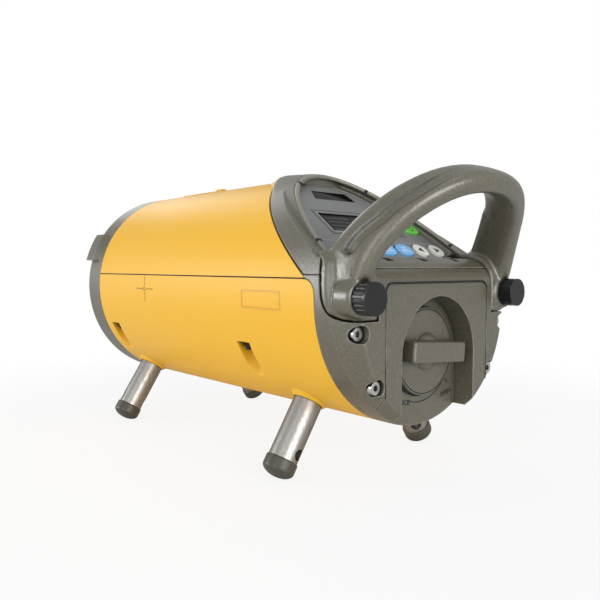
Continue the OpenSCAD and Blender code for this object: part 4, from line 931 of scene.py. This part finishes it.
def lip_notches():
    """Four short black bars on the hood's lip and its corners: painted shade of its notches."""
    length, width, height = 2.6, 1.6, 1.1
    # Distance up the slope, across it, above it, and turn
    slots = ((62.9, 24.6, 10.95, 44), (62.9, -24.6, 10.75, -44), (13.0, 48.6, 10.75, 78),
             (13.0, -48.6, 10.75, -78))
    bm = bmesh.new()
    for row, y, lift, turn in slots:
        add_bar(bm, slope_matrix(row, y, lift) @ spin_z(turn), length, width, height)
    round_edges(bm, 0.2, 2)
    make_piece("lip_notches", bm, "main", seal_and_shade)


def add_frame(bm, low, high, across, width, height):
    """Four bars round a window of the panel."""
    for row in (low, high):
        add_bar(bm, slope_matrix(row, 0, PANEL_TOP), width, across + width, height)
    for s in (-1, 1):
        side = slope_matrix((low + high) / 2, s * across / 2, PANEL_TOP)
        add_bar(bm, side, high - low + width, width, height)


def display_frame():
    """The stepped frame round the display, painted highlights on two of its edges, its rows, and the line
    above the keys.
    """
    step = 1.6
    line_row, line_length = 20.4, 84
    bm = bmesh.new()
    add_bar(bm, slope_matrix(line_row, 0, PANEL_TOP), 0.5, line_length, 0.12)
    add_frame(bm, LCD_LOW, LCD_HIGH, LCD_W, 0.45, 0.5)
    make_piece("panel_line", bm, "main", pale_line)
    bm = bmesh.new()
    add_frame(bm, LCD_LOW - step, LCD_HIGH + step, LCD_W + 2 * step, 0.5, 0.16)
    make_piece("display_step", bm, "main", step_line)
    # Painted highlights on the display frame's left and lower edges
    bm = bmesh.new()
    add_bar(bm, slope_matrix(36.2, LCD_W / 2 - 0.6, PANEL_TOP - 0.3), 16.0, 0.9, 0.5)
    add_bar(bm, slope_matrix(28.5, 0, PANEL_TOP - 0.3), 0.8, LCD_W - 1.6, 0.5)
    make_piece("display_edge_highlight", bm, "main", display_highlight_finish)
    bm = bmesh.new()
    # Row on the slope, and the left and right ends of its line
    for row, left, right in ((40.6, 21, 4), (37.4, 21, -12), (34.2, 21, 8), (31.0, 21, -4)):
        add_bar(bm, slope_matrix(row, (left + right) / 2, PANEL_TOP - 0.62), 1.1, left - right, PRINT_T)
    make_piece("display_lines", bm, "main", step_line)


# Studio

# Share of the floor's glow that lights the object from below
FLOOR_BOUNCE = 0.3
# Share of the white air that mirrors see beside the soft light
MIRRORED_AIR = 0.25

# Camera of the photograph: its place, its focal length in pixels of a picture 600 wide, and its turns
CAMERA_PLACE = (-191.3172, 238.0725, 13.2568)
CAMERA_FOCAL = 631.5344
PICTURE_W = 600
CAMERA_YAW, CAMERA_PITCH, CAMERA_ROLL = -0.7252, -0.0533, 0.0022

# Lamps: name, place in metres, size in metres and power
LAMPS = (
    ("key", (-0.6, 1.5, 0.5), 0.9, 5.6), ("rear fill", (-1.5, 0.2, 0.2), 1.1, 20.0),
    ("top", (-0.5, 0.0, 1.6), 0.9, 1.6), ("front low", (1.0, 1.05, 0.3), 0.5, 7.0),
    ("front high", (1.3, -0.3, 0.9), 0.5, 2.0))
LAMP_AIM = Vector((0.0, 0.0, 0.08))


def floor_finish():
    """Pale floor that takes shadows near the object and fades to white away from it."""
    mat, tree, shader = new_finish("studio floor")
    feed_named(tree, shader, {"Base Color": (0.86, 0.86, 0.86, 1), "Roughness": 0.9})
    path = tree.nodes.new("ShaderNodeLightPath").outputs
    away = calc_vector(tree, "LENGTH", object_place(tree))
    fade = add_node(tree, "ShaderNodeMapRange", Value=away, From_Min=0.18, From_Max=0.42, To_Min=0.86)
    fade.interpolation_type = "SMOOTHSTEP"
    seen = calc(tree, "MULTIPLY", path["Is Camera Ray"], fade.outputs["Result"])
    glow = add_node(tree, "ShaderNodeEmission", Strength=1.0)
    blend = tree.nodes.new("ShaderNodeMixShader")
    feed(tree, blend.inputs[0], calc(tree, "MULTIPLY_ADD", path["Is Diffuse Ray"], FLOOR_BOUNCE, seen))
    feed(tree, blend.inputs[1], shader.outputs[0])
    feed(tree, blend.inputs[2], glow.outputs[0])
    feed(tree, tree.nodes["Material Output"].inputs["Surface"], blend.outputs[0])
    return mat


def lay_floor():
    """The studio's floor, which isn't part of the object."""
    bm = bmesh.new()
    bmesh.ops.create_grid(bm, x_segments=1, y_segments=1, size=6.0)
    mesh = bpy.data.meshes.new("floor")
    bm.to_mesh(mesh)
    bm.free()
    floor = bpy.data.objects.new("floor", mesh)
    bpy.context.scene.collection.objects.link(floor)
    mesh.materials.append(floor_finish())


def fill_air():
    """Soft light from all round, and white behind the object and in its mirrors."""
    world = bpy.data.worlds.new("studio air")
    bpy.context.scene.world = world
    world.use_nodes = True
    tree = world.node_tree
    tree.nodes.clear()
    white = (1, 1, 1, 1)
    path = tree.nodes.new("ShaderNodeLightPath").outputs
    mirrored = calc(tree, "MULTIPLY_ADD", path["Is Glossy Ray"], MIRRORED_AIR, path["Is Transmission Ray"])
    blend = tree.nodes.new("ShaderNodeMixShader")
    feed(tree, blend.inputs[0], calc(tree, "ADD", path["Is Camera Ray"], mirrored, clamp=True))
    for socket, strength in ((1, 0.45), (2, 1.0)):
        air = add_node(tree, "ShaderNodeBackground", Color=white, Strength=strength)
        feed(tree, blend.inputs[socket], air.outputs[0])
    feed(tree, tree.nodes.new("ShaderNodeOutputWorld").inputs["Surface"], blend.outputs[0])


def hang_lamps():
    """Square lamps that all aim at the object's middle."""
    for name, place, size, power in LAMPS:
        light = bpy.data.lights.new(name, "AREA")
        light.size = size
        light.energy = power
        lamp = bpy.data.objects.new(name, light)
        lamp.location = place
        lamp.rotation_mode = "QUATERNION"
        lamp.rotation_quaternion = (LAMP_AIM - Vector(place)).to_track_quat("-Z", "Y")
        bpy.context.scene.collection.objects.link(lamp)


def place_camera():
    """The photograph's own camera."""
    lens = bpy.data.cameras.new("camera")
    lens.sensor_width = 36.0
    lens.lens = CAMERA_FOCAL / PICTURE_W * 36
    lens.clip_start, lens.clip_end = 0.01, 50.0
    camera = bpy.data.objects.new("camera", lens)
    bpy.context.scene.collection.objects.link(camera)
    level = math.cos(CAMERA_PITCH)
    ahead = Vector((level * math.cos(CAMERA_YAW), level * math.sin(CAMERA_YAW), math.sin(CAMERA_PITCH)))
    right = ahead.cross(Vector((0, 0, 1))).normalized()
    up = right.cross(ahead)
    c, s = math.cos(CAMERA_ROLL), math.sin(CAMERA_ROLL)
    right, up = c * right + s * up, -s * right + c * up
    turn = Matrix((right, up, -ahead)).transposed().to_4x4()
    camera.matrix_world = Matrix.Translation(at(*CAMERA_PLACE)) @ turn
    bpy.context.scene.camera = camera


lay_floor()
fill_air()
hang_lamps()
place_camera()
bpy.context.scene.view_settings.view_transform = "Standard"
dress_nodes()
handle_grip()
aiming_marks()
bare_plate()
lock_marks()
key_marks()
lock_grip()
hood_lip()
hood_cove()
lip_notches()
cover_seam()
display_frame()
